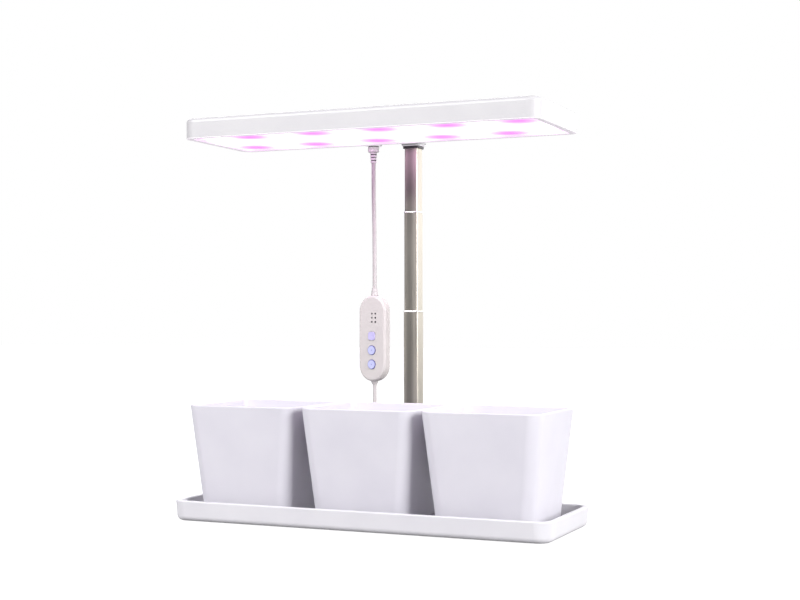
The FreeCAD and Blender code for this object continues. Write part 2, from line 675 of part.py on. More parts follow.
def make_housing():
    """The lamp's shell with its screw bosses, the pole lug and the boss for the gland."""
    body = new_body("lamp_housing")
    pad(body, rounded_rectangle(new_sketch(body), s.lamp_length, s.lamp_depth, s.lamp_corner),
        s.lamp_height)
    soften(body, "Fillet", lambda edge: level(edge, s.lamp_height.value), s.lamp_edge)
    socket_side = s.tube_side + (s.seat_gap + s.socket_wall) * 2
    lug_front = s.lamp_depth / 2 - s.lamp_wall / 2
    lug_depth = pole_back + socket_side / 2 + s.socket_wall / 2 - lug_front
    lug = rounded_rectangle(new_sketch(body, y=lug_front + lug_depth / 2, up=s.head_lug_rise),
                            s.head_lug_width, lug_depth, s.socket_wall * 2)
    pad(body, lug, s.head_lug_height)
    lug_top = s.head_lug_rise + s.head_lug_height
    behind = s.lamp_depth / 2 + s.rim_bevel
    soften(body, "Chamfer",
           lambda edge: level(edge, lug_top.value) and edge.BoundBox.YMax > behind.value, s.rim_bevel)
    nose = rounded_rectangle(new_sketch(body, y=pole_back), socket_side, socket_side,
                             s.tube_corner + s.socket_wall)
    pad(body, nose, s.head_lug_rise + s.rim_bevel)
    gland_width = s.gland_cap + s.socket_wall
    gland_front = s.lamp_depth / 2 - s.lamp_wall / 2
    gland_depth = gland_back + gland_width / 2 - gland_front
    seat = rounded_rectangle(new_sketch(body, x=-s.gland_left, y=gland_front + gland_depth / 2),
                             gland_width, gland_depth, gland_width / 4)
    pad(body, seat, s.gland_stem_height + s.socket_wall)
    hollow = rounded_rectangle(new_sketch(body), s.lamp_length - s.lamp_wall * 2,
                               s.lamp_depth - s.lamp_wall * 2, s.lamp_corner - s.lamp_wall)
    pocket(body, hollow, ceiling, back=True)
    bosses = circles(new_sketch(body, up=s.board_rise + s.board_thick), s.board_boss, boss_places())
    pad(body, bosses, ceiling - s.board_rise - s.board_thick)
    pocket(body, circles(new_sketch(body, up=s.board_rise), s.board_screw + s.seat_gap, boss_places()),
           ceiling - s.board_rise, back=True)
    way = s.tube_side + s.seat_gap * 2
    pocket(body, rounded_rectangle(new_sketch(body, y=pole_back), way, way, s.tube_corner),
           s.head_socket_depth, back=True)
    pocket(body, circles(new_sketch(body, y=pole_back), s.screw_way), lug_top, back=True)
    sink = s.screw_head_height + s.washer_thick + s.pad_recess
    pocket(body, circles(new_sketch(body, y=pole_back, up=lug_top), s.screw_sink), sink)
    pocket(body, circles(new_sketch(body, x=-s.gland_left, y=gland_back), s.gland_stem + s.seat_gap * 2),
           s.gland_stem_height + s.seat_gap, back=True)
    place(body, z=s.lamp_under)


def make_bezel():
    """The frame that holds the diffuser, with clips along its two long sides."""
    body = new_body("lamp_bezel")
    width = s.lamp_length - (s.lamp_wall + s.seat_gap) * 2
    depth = s.lamp_depth - (s.lamp_wall + s.seat_gap) * 2
    corner = s.lamp_corner - s.lamp_wall
    pad(body, rounded_rectangle(new_sketch(body), width, depth, corner), s.bezel_height)
    seat = s.bezel_width - s.bezel_lip
    pocket(body, rounded_rectangle(new_sketch(body, up=s.bezel_lip_height), width - seat * 2,
                                   depth - seat * 2, corner - seat), s.bezel_height, back=True)
    pocket(body, rounded_rectangle(new_sketch(body), width - s.bezel_width * 2,
                                   depth - s.bezel_width * 2, corner - s.bezel_width),
           s.bezel_height, back=True)
    clip_pitch = s.lamp_length / (s.clip_count + 1)
    for side in (-1, 1):
        clip = rectangle(new_sketch(body, x=-(clip_pitch * (s.clip_count - 1) / 2),
                                    y=(depth / 2 - s.clip_thick) * side, up=s.bezel_height),
                         s.clip_length, s.clip_thick)
        clips = pad(body, clip, s.clip_rise)
        repeat(body, clips, "X_Axis", clip_pitch, s.clip_count)
    place(body, z=s.lamp_under)


def make_diffuser():
    """The frosted sheet that lies in the bezel."""
    body = new_body("diffuser")
    rebate = s.lamp_wall + s.seat_gap * 2 + s.bezel_width - s.bezel_lip
    pad(body, rounded_rectangle(new_sketch(body), s.lamp_length - rebate * 2, s.lamp_depth - rebate * 2,
                                s.lamp_corner - rebate), s.diffuser_thick)
    place(body, z=s.lamp_under + s.bezel_lip_height)


def make_board():
    """The LED board with its white and coloured LEDs and the screws that hold it."""
    body = new_body("led_board")
    inset = (s.lamp_wall + s.board_inset) * 2
    pad(body, rounded_rectangle(new_sketch(body), s.lamp_length - inset, s.lamp_depth - inset,
                                s.board_inset), s.board_thick)
    pocket(body, circles(new_sketch(body), s.board_screw + s.seat_gap * 2, boss_places()),
           s.board_thick, back=True)
    place(body, z=s.lamp_under + s.board_rise)

    body = new_body("white_leds", several=True)
    first = -(s.white_pitch * (s.white_count - 1) / 2)
    for row in range(int(s.white_rows.value)):
        behind = s.white_row * (as_size(row) - (s.white_rows - 1) / 2)
        led = rectangle(new_sketch(body, x=first, y=behind), s.white_side, s.white_side)
        repeat(body, pad(body, led, s.led_height), "X_Axis", s.white_pitch, s.white_count)
    place(body, z=s.lamp_under + led_under)

    body = new_body("grow_leds", several=True)
    for side in (-1, 1):
        first = -(s.grow_pitch * (s.grow_count - 1) / 2) - s.grow_shift * side
        led = rectangle(new_sketch(body, x=first, y=s.grow_row * side), s.grow_side, s.grow_side)
        repeat(body, pad(body, led, s.led_height), "X_Axis", s.grow_pitch, s.grow_count)
    place(body, z=s.lamp_under + led_under)

    body = new_body("board_screws", several=True)
    pad(body, circles(new_sketch(body), s.board_screw_head, boss_places()), s.board_screw_rise)
    pad(body, circles(new_sketch(body), s.board_screw, boss_places()),
        s.board_screw_rise + s.board_thick + s.board_boss / 2)
    place(body, z=s.lamp_under + s.board_rise - s.board_screw_rise)


def make_gland():
    """The cord gland: stem, cap and a tapered neck with grooves."""
    body = new_body("cord_gland")
    cap = s.gland_cap / 2
    under = s.gland_cap_height + s.gland_neck_height
    outline = polygon(new_sketch(body, plane="XZ_Plane"), [
        (0.0, 0.0), (s.gland_tip / 2, 0.0), (s.gland_neck / 2, s.gland_neck_height),
        (cap - s.rim_bevel, s.gland_neck_height), (cap, s.gland_neck_height + s.rim_bevel),
        (cap, under), (s.gland_stem / 2, under),
        (s.gland_stem / 2, under + s.gland_stem_height), (0.0, under + s.gland_stem_height)])
    revolve(body, outline)
    depth = s.gland_groove / 2
    widening = (s.gland_neck - s.gland_tip) / 2 / s.gland_neck_height
    for ring in range(3):
        up = s.gland_groove_up + s.gland_groove_pitch * ring
        outer = s.gland_tip / 2 + widening * up
        cut = polygon(new_sketch(body, plane="XZ_Plane"), [
            (outer - depth, up), (outer + depth, up), (outer + depth, up + s.gland_groove),
            (outer - depth, up + s.gland_groove)])
        revolve(body, cut, cut=True)
    place(body, x=-s.gland_left, y=gland_back, z=s.lamp_under - under)


# The controller is modelled about its own middle and hangs turned on the cord
control_left = s.gland_left - s.control_shift
control_middle = s.lamp_under - s.control_drop
board_back = s.control_split + s.seat_gap
button_heights = [s.button_top - s.button_pitch * step for step in range(3)]
screw_heights = [s.control_height / 2 - s.post_inset_top, s.post_inset_foot - s.control_height / 2]


def hang(body):
    """Put a piece of the controller where the controller hangs."""
    place(body, x=-control_left, y=gland_back, z=control_middle)
    body.setExpression("Placement.Rotation.Angle", f"-{s.control_turn.formula} * 1 deg")
    body.Placement.Rotation = FreeCAD.Rotation(FreeCAD.Vector(0, 0, 1), -s.control_turn.value)


def control_outline(body, inset, behind):
    """The controller's pill outline, drawn in by inset, on a plane behind its middle."""
    width = s.control_width - as_size(inset) * 2
    height = s.control_height - as_size(inset) * 2
    sketch = new_sketch(body, up=-as_size(behind), plane="XZ_Plane")
    return rounded_rectangle(sketch, width, height, width / 2 - 0.05)


def facing(edge, depth):
    """Whether an edge lies in a plane at a depth along Y."""
    spots = [vertex.Point for vertex in edge.Vertexes] + [edge.CenterOfMass]
    return all(abs(spot.y - depth) < 1e-3 for spot in spots)


def relief_ways(body):
    """Cut the round ways for both strain reliefs through a controller shell's ends."""
    for end in (-1, 1):
        sketch = new_sketch(body, up=(s.control_height / 2 - s.control_wall * 2) * end)
        pocket(body, circles(sketch, s.relief_neck + s.seat_gap * 2), s.control_wall * 3, back=end > 0)


def make_controller_front():
    """The controller's front shell with openings for buttons and lenses."""
    body = new_body("controller_front")
    depth = s.control_half + s.control_split
    pad(body, control_outline(body, 0.0, s.control_split), depth)
    soften(body, "Fillet", lambda edge: facing(edge, -s.control_half.value), s.control_round)
    pocket(body, control_outline(body, s.control_wall, s.control_split), depth - s.control_wall, back=True)
    bosses = new_sketch(body, plane="XZ_Plane")
    pad(body, circles(bosses, s.relief_tip, [(0.0, z) for z in screw_heights]),
        s.control_half - s.control_wall)
    face = new_sketch(body, up=s.control_half - s.control_wall * 2, plane="XZ_Plane")
    opening = s.button_diameter + s.button_gap * 2
    pocket(body, circles(face, opening, [(0.0, z) for z in button_heights[1:]]), s.control_wall * 3,
           back=True)
    power = new_sketch(body, y=button_heights[0], up=s.control_half - s.control_wall * 2,
                       plane="XZ_Plane")
    opening = s.button_square + s.button_gap * 2
    pocket(body, rounded_rectangle(power, opening, opening, opening / 4), s.control_wall * 3, back=True)
    windows = new_sketch(body, up=s.control_half - s.control_wall * 2, plane="XZ_Plane")
    pocket(body, circles(windows, s.lens_diameter + s.seat_gap, lens_places()), s.control_wall * 3,
           back=True)
    screws = new_sketch(body, plane="XZ_Plane")
    pocket(body, circles(screws, s.lens_diameter + s.seat_gap, [(0.0, z) for z in screw_heights]),
           s.control_half - s.control_wall, back=True)
    relief_ways(body)
    hang(body)


def lens_places():
    """Centres of the two columns of three lenses."""
    half = s.lens_pitch / 2
    return [(s.lens_right + half * side, s.lens_middle + s.lens_pitch * step)
            for side in (-1, 1) for step in (-1, 0, 1)]


def make_controller_rear():
    """The controller's rear shell with two screw posts."""
    body = new_body("controller_rear")
    depth = s.control_half - s.control_split
    pad(body, control_outline(body, 0.0, s.control_split), depth, back=True)
    soften(body, "Fillet", lambda edge: facing(edge, s.control_half.value), s.control_round)
    pocket(body, control_outline(body, s.control_wall, s.control_split), depth - s.control_wall)
    posts = new_sketch(body, up=-(s.control_half - s.control_wall), plane="XZ_Plane")
    places = [(0.0, z) for z in screw_heights]
    post_reach = s.control_half - s.control_wall - board_back
    pad(body, circles(posts, s.relief_tip, places), post_reach)
    ways = new_sketch(body, up=-s.control_half, plane="XZ_Plane")
    pocket(body, circles(ways, s.lens_diameter + s.seat_gap * 4, places), s.control_half, back=True)
    sinks = new_sketch(body, up=-s.control_half, plane="XZ_Plane")
    pocket(body, circles(sinks, s.relief_tip - s.control_wall, places), s.control_wall, back=True)
    relief_ways(body)
    hang(body)


def make_controller_inside():
    """The controller's board, switches, lenses and screws."""
    body = new_body("controller_board")
    board = new_sketch(body, up=-board_back, plane="XZ_Plane")
    pad(body, rounded_rectangle(board, s.control_board, s.control_board_high, s.control_wall), board_back)
    ways = new_sketch(body, up=-board_back, plane="XZ_Plane")
    places = [(0.0, z) for z in screw_heights]
    pocket(body, circles(ways, s.lens_diameter + s.seat_gap * 4, places), board_back, back=True)
    hang(body)

    body = new_body("tact_switches", several=True)
    for height in button_heights:
        sketch = new_sketch(body, y=height, plane="XZ_Plane")
        pad(body, rounded_rectangle(sketch, s.switch_side, s.switch_side, s.rim_bevel), s.switch_height)
    hang(body)

    body = new_body("indicator_lenses", several=True)
    sketch = new_sketch(body, up=s.control_half - s.control_wall, plane="XZ_Plane")
    pad(body, circles(sketch, s.lens_diameter, lens_places()), s.control_wall + s.seat_gap)
    hang(body)

    body = new_body("controller_screws", several=True)
    heads = new_sketch(body, up=-(s.control_half - s.seat_gap), plane="XZ_Plane")
    head_height = s.control_wall - s.seat_gap
    pad(body, circles(heads, s.relief_tip - s.control_wall - s.seat_gap * 2, places), head_height)
    shanks = new_sketch(body, up=-(s.control_half - s.seat_gap), plane="XZ_Plane")
    pad(body, circles(shanks, s.lens_diameter, places), s.control_half * 2 - s.control_wall * 2)
    hang(body)


def make_relief(label, up, reach):
    """A moulded strain relief in one end of the controller."""
    body = new_body(label)
    wall = s.control_height / 2
    flange_out = wall - s.control_wall - s.relief_neck / 6
    points = [(0.0, flange_out - s.control_wall), (s.relief_flange / 2, flange_out - s.control_wall),
              (s.relief_flange / 2, flange_out), (s.relief_neck / 2, flange_out),
              (s.relief_neck / 2, wall), (s.relief_root / 2, wall),
              (s.relief_tip / 2, wall + reach), (0.0, wall + reach)]
    sketch = new_sketch(body, plane="XZ_Plane")
    polygon(sketch, [(x, as_size(z) * up) for x, z in points])
    revolve(body, sketch)
    hang(body)


def make_button(label, height, square):
    """One button with the flange that keeps it in the shell."""
    body = new_body(label)
    under = s.control_half - s.control_wall - s.button_gap
    flange_plane = new_sketch(body, y=height, up=under - s.button_flange_thick, plane="XZ_Plane")
    cap_plane = new_sketch(body, y=height, up=under, plane="XZ_Plane")
    reach = s.control_wall + s.button_gap + s.button_proud
    if square:
        side = s.button_square
        rounded_rectangle(flange_plane, side + s.button_flange * 2, side + s.button_flange * 2, side / 4)
        rounded_rectangle(cap_plane, side, side, side / 4)
    else:
        circles(flange_plane, s.button_diameter + s.button_flange * 2)
        circles(cap_plane, s.button_diameter)
    pad(body, flange_plane, s.button_flange_thick)
    pad(body, cap_plane, reach)
    outer = -(under + reach).value
    soften(body, "Chamfer", lambda edge: facing(edge, outer), s.button_proud / 2)
    hang(body)


def corner_arc(before, corner, after):
    """Tangent arc at a corner of a route: its two ends, its middle point and its radius."""
    inward = corner - before
    outward = after - corner
    reach = 0.45 * min(inward.Length, outward.Length)
    inward.normalize()
    outward.normalize()
    half = inward.getAngle(outward) / 2
    radius = reach / math.tan(half)
    middle_way = outward - inward
    middle_way.normalize()
    start = corner - inward * reach
    end = corner + outward * reach
    middle = corner + middle_way * (radius * (1 / math.cos(half) - 1))
    return start, middle, end, radius


def route_edges(points):
    """Straight runs joined by tangent arcs through a list of route points."""
    points = [FreeCAD.Vector(*point) for point in points]
    edges = []
    radii = []
    last = points[0]
    for before, corner, after in zip(points, points[1:], points[2:]):
        start, middle, end, radius = corner_arc(before, corner, after)
        edges.append(Part.LineSegment(last, start).toShape())
        edges.append(Part.Arc(start, middle, end).toShape())
        radii.append(radius)
        last = end
    edges.append(Part.LineSegment(last, points[-1]).toShape())
    return edges, radii


def cord_section(start, ahead):
    """The cord's section at a point, as a flat-sided ring across its way."""
    sides = int(s.cord_sides.value)
    turn = FreeCAD.Rotation(FreeCAD.Vector(0, 0, 1), ahead)
    ring = []
    for step in range(sides):
        angle = math.pi * (2 * step + 1) / sides
        spoke = FreeCAD.Vector(math.cos(angle), math.sin(angle), 0) * (s.cord_diameter.value / 2)
        ring.append(start + turn.multVec(spoke))
    return Part.makePolygon(ring + ring[:1])


def tube(label, edges, radii):
    """A solid cord along a chain of edges, checked against its section times its length."""
    wire = Part.Wire(edges)
    start = edges[0].valueAt(edges[0].FirstParameter)
    ahead = edges[0].tangentAt(edges[0].FirstParameter)
    section = cord_section(start, ahead)
    solid = wire.makePipeShell([section], True, False)
    error = solid.Volume / (Part.Face(section).Area * wire.Length) - 1
    tight = ", ".join(f"{radius:.1f}" for radius in radii)
    print(f"{label}: length {wire.Length:.1f}, volume off by {error:.5f}, radii {tight}")
    add_feature(label, solid)


def half_turn(start, ahead, end, leave):
    """A half turn from start to end as two arcs that meet in the middle."""
    gap = end - start
    reach = gap.Length / 2
    first = start + ahead * reach
    second = end - leave * reach
    middle = (first + second) * 0.5
    edges = []
    across = second - first
    across.normalize()
    for one, way, other, other_way in ((start, ahead, middle, across), (middle, across, end, leave)):
        corner = one + way * ((other - one).Length ** 2 / (2 * (other - one).dot(way)))
        centre_way = (one - corner) + (other - corner)
        centre_way.normalize()
        half = math.pi / 2 - way.getAngle(other_way) / 2
        radius = (one - corner).Length * math.tan(half)
        to_centre = (one - corner).Length / math.cos(half)
        edges.append(Part.Arc(one, corner + centre_way * (to_centre - radius), other).toShape())
    return edges


def coil_crossings():
    """Where the coil crosses its own middle line: offset along X and height, turn by turn."""
    radius, step_in = s.coil_radius.value, s.coil_pitch.value / 2
    low = s.cord_diameter.value / 2
    high = low + s.coil_rise.value
    turns_in = int(s.coil_half_turns.value)
    inward = [(radius - step_in * step, low) for step in range(turns_in + 1)]
    climbed = [(inward[-1][0] - s.coil_draw.value, high)]
    outward = [(size, high) for size, _ in inward[:1:-1]]
    sizes = inward + climbed + outward
    return [(size if step % 2 == 0 else -size, height) for step, (size, height) in enumerate(sizes)]


def make_coil():
    """The put-away cord: a flat spiral in, a climb and a spiral out, as one unbroken tube."""
    left, back = -s.coil_left.value, s.coil_back.value
    crossings = coil_crossings()
    lead = s.cord_diameter.value
    points = [FreeCAD.Vector(left + x, back, z) for x, z in crossings]
    up, down = FreeCAD.Vector(0, 1, 0), FreeCAD.Vector(0, -1, 0)
    edges = [Part.LineSegment(points[0] - up * lead, points[0]).toShape()]
    for step, (start, end) in enumerate(zip(points, points[1:])):
        ahead, leave = (up, down) if step % 2 == 0 else (down, up)
        edges.extend(half_turn(start, ahead, end, leave))
    edges.append(Part.LineSegment(points[-1], points[-1] + up * lead).toShape())
    radii = [edge.Curve.Radius for edge in edges[1:-1]]
    tube("cord_coil", edges, [min(radii), max(radii)])
    spots = []
    travelled = 0.0
    for edge in edges:
        count = max(2, int(edge.Length / 3))
        first, last = edge.FirstParameter, edge.LastParameter
        for step in range(count):
            spot = edge.valueAt(first + (last - first) * step / count)
            spots.append((travelled + edge.Length * step / count, spot))
        travelled += edge.Length
    apart = min((one - other).Length for a, one in spots for b, other in spots if b - a > 40)
    print(f"cord_coil: least gap to itself {apart - s.cord_diameter.value:.2f}")


# Points of each stretch of cord, chosen by hand, in the object's own frame
UPPER_CORD = [(-38.2, 71.5, 371.3), (-38.2, 71.5, 338.0), (-37.3, 71.5, 304.0), (-37.0, 71.5, 271.0),
              (-37.0, 71.5, 238.3)]
HANGING_CORD = [(-37.0, 71.5, 136.3), (-37.0, 71.5, 76.0)]
STANDING_CORD = [(-37.0, 71.5, 76.0), (-37.0, 71.5, 58.0), (-37.1, 72.8, 38.5), (-37.6, 77.5, 20.0),
                 (-38.4, 90.6, 6.8), (-39.0, 105.6, 2.2), (-39.0, 117.6, 2.2)]
CORD_TAIL = [(-43.9, 126.4, 8.4), (-43.9, 146.4, 8.4), (-51.4, 167.1, 2.2), (-69.9, 179.1, 2.2),
             (-91.8, 177.6, 2.2), (-108.4, 163.2, 2.2), (-113.3, 141.8, 4.2), (-113.3, 129.0, 4.2)]


def make_plug_end():
    """The flat plug on the cord's end: moulded body with its relief, shell and tongue."""
    body = new_body("plug_body")
    relief = polygon(new_sketch(body), [
        (0.0, 0.0), (s.relief_tip / 2, 0.0), (s.relief_root / 2, -s.plug_relief), (0.0, -s.plug_relief)])
    revolve(body, relief)
    block = new_sketch(body, up=s.plug_relief, plane="XZ_Plane")
    pad(body, rounded_rectangle(block, s.plug_width, s.plug_depth, s.plug_corner), s.plug_length)
    stand(body)

    body = new_body("plug_shell")
    front = s.plug_relief + s.plug_length
    skin = rectangle(new_sketch(body, up=front, plane="XZ_Plane"), s.shell_width, s.shell_depth)
    pad(body, skin, s.shell_length)
    inside = rectangle(new_sketch(body, up=front, plane="XZ_Plane"), s.shell_width - s.shell_wall * 2,
                       s.shell_depth - s.shell_wall * 2)
    pocket(body, inside, s.shell_length, back=True)
    stand(body)

    body = new_body("plug_tongue")
    rise = (s.shell_depth - s.tongue_depth) / 2 - s.shell_wall - s.seat_gap
    tongue = new_sketch(body, y=rise, up=front, plane="XZ_Plane")
    pad(body, rectangle(tongue, s.shell_width - s.shell_wall * 4, s.tongue_depth),
        s.shell_length - s.shell_wall * 2)
    stand(body)


def stand(body):
    """Put a piece of the plug at the end of the cord's tail."""
    body.Placement.Base = FreeCAD.Vector(*CORD_TAIL[-1])


def add_feature(label, shape):
    """Keep a shape as a piece of its own."""
    item = DOC.addObject("Part::Feature", label)
    item.Label = label
    item.Shape = shape
    PIECES.append(item)


def make_cords():
    """Every stretch of cord, the coil and the plug."""
    for label, points in (("upper_cord", UPPER_CORD), ("hanging_cord", HANGING_CORD),
                          ("standing_cord", STANDING_CORD), ("cord_tail", CORD_TAIL)):
        tube(label, *route_edges(points))
    make_coil()
    make_plug_end()


make_tray()
make_pads()
for pot_label, pot_side in (("plant_pot_left", -1), ("plant_pot_middle", 0), ("plant_pot_right", 1)):
    make_pot(pot_label, pot_side)
make_pole()
make_housing()
make_bezel()
make_diffuser()
make_board()
make_gland()
make_controller_front()
make_controller_rear()
make_controller_inside()
make_relief("controller_top_relief", 1, s.relief_long)
make_relief("controller_bottom_relief", -1, s.relief_short)
for button_label, button_height in zip(("power_button", "brightness_button", "timer_button"), button_heights):
    make_button(button_label, button_height, button_label == "power_button")
make_cords()
DOC.recompute()

for item in DOC.Objects:
    assert not {"Invalid", "Error"} & set(item.State), f"{item.Label} failed: {item.State}"
for piece in PIECES:
    assert not piece.Shape.isNull() and piece.Shape.isValid(), f"{piece.Label} is not a sound solid"
for piece in PIECES:
    piece.Shape.exportStep(f"parts/{piece.Label}.step")
    print(f"{piece.Label}: {len(piece.Shape.Solids)} solid(s), {piece.Shape.Volume:.1f} cubic mm")
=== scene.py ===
"""Looks of a countertop grow garden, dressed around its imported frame.

Three square pots stand in a drip tray under a lamp on a telescoping pole, and a hand controller hangs on
the lamp's cord. Every length is in metres unless its name says otherwise, with +Z up, +X along the pots
and -Y the front.
"""

import json
import logging
import math
from dataclasses import dataclass, field
from enum import Enum

import bmesh
import bpy
import numpy as np
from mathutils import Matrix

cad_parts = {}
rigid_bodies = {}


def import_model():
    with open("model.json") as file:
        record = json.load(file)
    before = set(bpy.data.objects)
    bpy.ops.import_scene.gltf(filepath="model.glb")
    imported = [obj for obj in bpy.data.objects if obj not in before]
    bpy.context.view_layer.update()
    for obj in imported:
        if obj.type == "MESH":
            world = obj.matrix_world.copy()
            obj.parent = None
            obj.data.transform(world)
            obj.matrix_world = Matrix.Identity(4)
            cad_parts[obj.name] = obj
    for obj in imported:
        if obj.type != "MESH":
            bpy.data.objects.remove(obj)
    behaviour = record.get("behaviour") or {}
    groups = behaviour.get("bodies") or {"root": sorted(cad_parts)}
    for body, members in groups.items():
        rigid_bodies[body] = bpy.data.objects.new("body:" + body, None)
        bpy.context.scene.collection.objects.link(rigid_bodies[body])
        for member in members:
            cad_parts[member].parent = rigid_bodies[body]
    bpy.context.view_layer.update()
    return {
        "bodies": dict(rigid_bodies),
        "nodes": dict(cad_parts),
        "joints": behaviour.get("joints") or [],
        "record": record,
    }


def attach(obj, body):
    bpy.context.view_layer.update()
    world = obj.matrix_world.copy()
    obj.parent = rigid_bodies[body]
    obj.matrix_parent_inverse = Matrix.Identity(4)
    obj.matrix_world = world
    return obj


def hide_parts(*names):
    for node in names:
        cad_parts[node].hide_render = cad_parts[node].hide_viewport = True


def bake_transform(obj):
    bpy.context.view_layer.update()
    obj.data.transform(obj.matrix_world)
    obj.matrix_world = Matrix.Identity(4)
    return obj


LOG = logging.getLogger("garden")
MM = 0.001
SMOOTH_TO = 35.0
MERGE_WITHIN = 0.0000005
CORNER_POINTS = 9
RECESS_SLOPE = 0.12
RECESS_REACH = 0.35
Colour = tuple[float, float, float]
Point = tuple[float, float, float]


class Body(Enum):
    """The moving bodies that the pieces made here ride on."""

    BASE = "base"
    MIDDLE = "middle_stage"
    LAMP = "lamp"
    POWER = "power"
    BRIGHTNESS = "brightness"
    TIMER = "timer"


def to_metres(points_mm: list[Point]) -> np.ndarray:
    """Turns points given in millimetres into an array in metres."""
    return np.array(points_mm, dtype=float) * MM


def unit(way: np.ndarray) -> np.ndarray:
    """Scales directions to length 1, along their last axis."""
    return way / np.linalg.norm(way, axis=-1, keepdims=True)


def new_piece(name: str, points: np.ndarray, faces: list, marks: dict[str, np.ndarray] | None = None,
              smooth_to: float = SMOOTH_TO) -> bpy.types.Object:
    """Makes a mesh object from points and faces.

    Args:
        name: The piece's name.
        points: The points, in metres.
        faces: The faces, as lists of point numbers.
        marks: Named values for each point, which the finishes read.
        smooth_to: The widest angle, in degrees, that the shading runs smoothly over.

    Returns:
        The object, linked into the scene, with its doubled points merged and its faces outwards.
    """
    mesh = bpy.data.meshes.new(name)
    mesh.from_pydata(points.tolist(), [], faces)
    for mark, values in (marks or {}).items():
        mesh.attributes.new(mark, "FLOAT", "POINT").data.foreach_set("value", np.asarray(values, dtype=float))
    shape = bmesh.new()
    shape.from_mesh(mesh)
    bmesh.ops.remove_doubles(shape, verts=shape.verts, dist=MERGE_WITHIN)
    bmesh.ops.recalc_face_normals(shape, faces=shape.faces)
    shape.to_mesh(mesh)
    shape.free()
    mesh.shade_smooth()
    mesh.set_sharp_from_angle(angle=math.radians(smooth_to))
    piece = bpy.data.objects.new(name, mesh)
    bpy.context.collection.objects.link(piece)
    LOG.info("%s has %d faces", name, len(mesh.polygons))
    return piece


def ring_faces(rings: int, sides: int, capped: bool = True) -> list:
    """Lists the faces between rings of points that each close on themselves.

    Args:
        rings: How many rings there are.
        sides: How many points each ring has.
        capped: Whether the first and last rings are closed with a face.

    Returns:
        The faces, as lists of point numbers.
    """
    here = np.arange(rings - 1)[:, None] * sides + np.arange(sides)
    beside = np.arange(rings - 1)[:, None] * sides + (np.arange(sides) + 1) % sides
    faces = np.stack([here, beside, beside + sides, here + sides], axis=-1).reshape(-1, 4).tolist()
    if capped:
        last = (rings - 1) * sides
        faces += [list(range(sides))[::-1], list(range(last, last + sides))]
    return faces


def swept_tube(name: str, line: np.ndarray, radius: float, sides: int) -> bpy.types.Object:
    """Carries a circle along a line, without twist.

    The circle's first spoke is turned from each point to the next by the least turn that keeps it square
    to the line. A point of the tube is the line's point plus the radius times the spoke turned by the
    angle round the line.

    Args:
        name: The piece's name.
        line: The line's points, in metres.
        radius: The circle's radius.
        sides: How many flat sides the circle has.

    Returns:
        The tube, closed at both ends.
    """
    ahead = unit(np.gradient(line, axis=0))
    spokes = np.empty_like(line)
    spoke = np.cross(ahead[0], np.roll(np.abs(ahead[0]), 1) + 0.1)
    for step, along in enumerate(ahead):
        spoke = unit(spoke - along * np.dot(spoke, along))
        spokes[step] = spoke
    others = np.cross(ahead, spokes)
    angle = 2 * np.pi * np.arange(sides)[None, :, None] / sides
    points = line[:, None] + radius * (np.cos(angle) * spokes[:, None] + np.sin(angle) * others[:, None])
    return new_piece(name, points.reshape(-1, 3), ring_faces(len(line), sides))


@dataclass(frozen=True)
class Seat:
    """Where a turned piece stands: a point, the way that it points and which way is up across it."""

    point: Point
    axis: Point
    up: Point = (0.0, 0.0, 1.0)

    def set_down(self, across: np.ndarray, upright: np.ndarray, along: np.ndarray) -> np.ndarray:
        """Places points given in the seat's own directions.

        Args:
            across: The distances across the axis and the up direction, in metres.
            upright: The distances along the up direction.
            along: The distances along the axis.

        Returns:
            The points in the row frame.
        """
        axis = unit(np.array(self.axis))
        side = unit(np.cross(np.array(self.up), axis))
        top = np.cross(axis, side)
        return (np.array(self.point) + across[..., None] * side + upright[..., None] * top
                + along[..., None] * axis)


def turned_piece(name: str, profile: list[tuple[float, float, float]], seat: Seat, sides: int = 48,
                 flutes: tuple[int, float, float, float] = (0, 0.0, 0.0, 0.0),
                 squareness: float = 2.0,
                 recess: tuple[float, float, float] = (0.0, 1.0, 0.0)) -> bpy.types.Object:
    """Turns a profile about a seat's axis.

    A point is the profile's radius times the outline's reach at its angle, set out round the axis at the
    profile's height. The outline is a superellipse, 1 over the root of the cosine's and the sine's powers
    added, which is a circle at power 2 and a rounded square above. Flutes take a cosine wave off it. A
    cross recess sinks the points of the top that lie nearer than its half width to one of its two arms.

    Args:
        name: The piece's name.
        profile: Radius, height and how much painted shade it has there, from the axis and back to it, in
            millimetres.
        seat: Where the piece stands.
        sides: How many points go round.
        flutes: How many flutes, their depth as a share, and the heights that they lie between.
        squareness: The outline's power.
        recess: The cross's arm length, half width and depth, in millimetres.

    Returns:
        The piece.
    """
    radius, height, painted_shade = np.array(profile, dtype=float).T
    angle = 2 * np.pi * (np.arange(sides) + 0.5) / sides
    reach = (np.abs(np.cos(angle)) ** squareness + np.abs(np.sin(angle)) ** squareness) ** (-1 / squareness)
    count, depth, low, high = flutes
    fluted = depth * ((height > low) & (height < high))
    wave = 1 - fluted[:, None] * (0.5 + 0.5 * np.cos(count * angle))
    size = radius[:, None] * MM * reach * wave
    arm, half_width, depth = recess
    across, upright = np.abs(size * np.cos(angle)) / MM, np.abs(size * np.sin(angle)) / MM
    in_arm = np.clip((half_width - np.minimum(across, upright)) / RECESS_SLOPE + 0.5, 0, 1)
    in_reach = np.clip((arm - np.maximum(across, upright)) / RECESS_SLOPE + 0.5, 0, 1)
    on_top = (height > height.max() - RECESS_REACH * radius.max())[:, None]
    sunk = depth * in_arm * in_reach * on_top
    along = (height[:, None] - sunk) * MM
    points = seat.set_down(size * np.cos(angle), size * np.sin(angle), along)
    # Painted shade: how dark a finish paints each point as shade, from the profile's third column, and in
    # full inside the cross recess.
    marks = {"painted_shade": np.maximum(np.repeat(painted_shade, sides), (sunk > 0).ravel()),
             "spread": np.repeat(radius / radius.max(), sides)}
    return new_piece(name, points.reshape(-1, 3), ring_faces(len(radius), sides, False), marks)


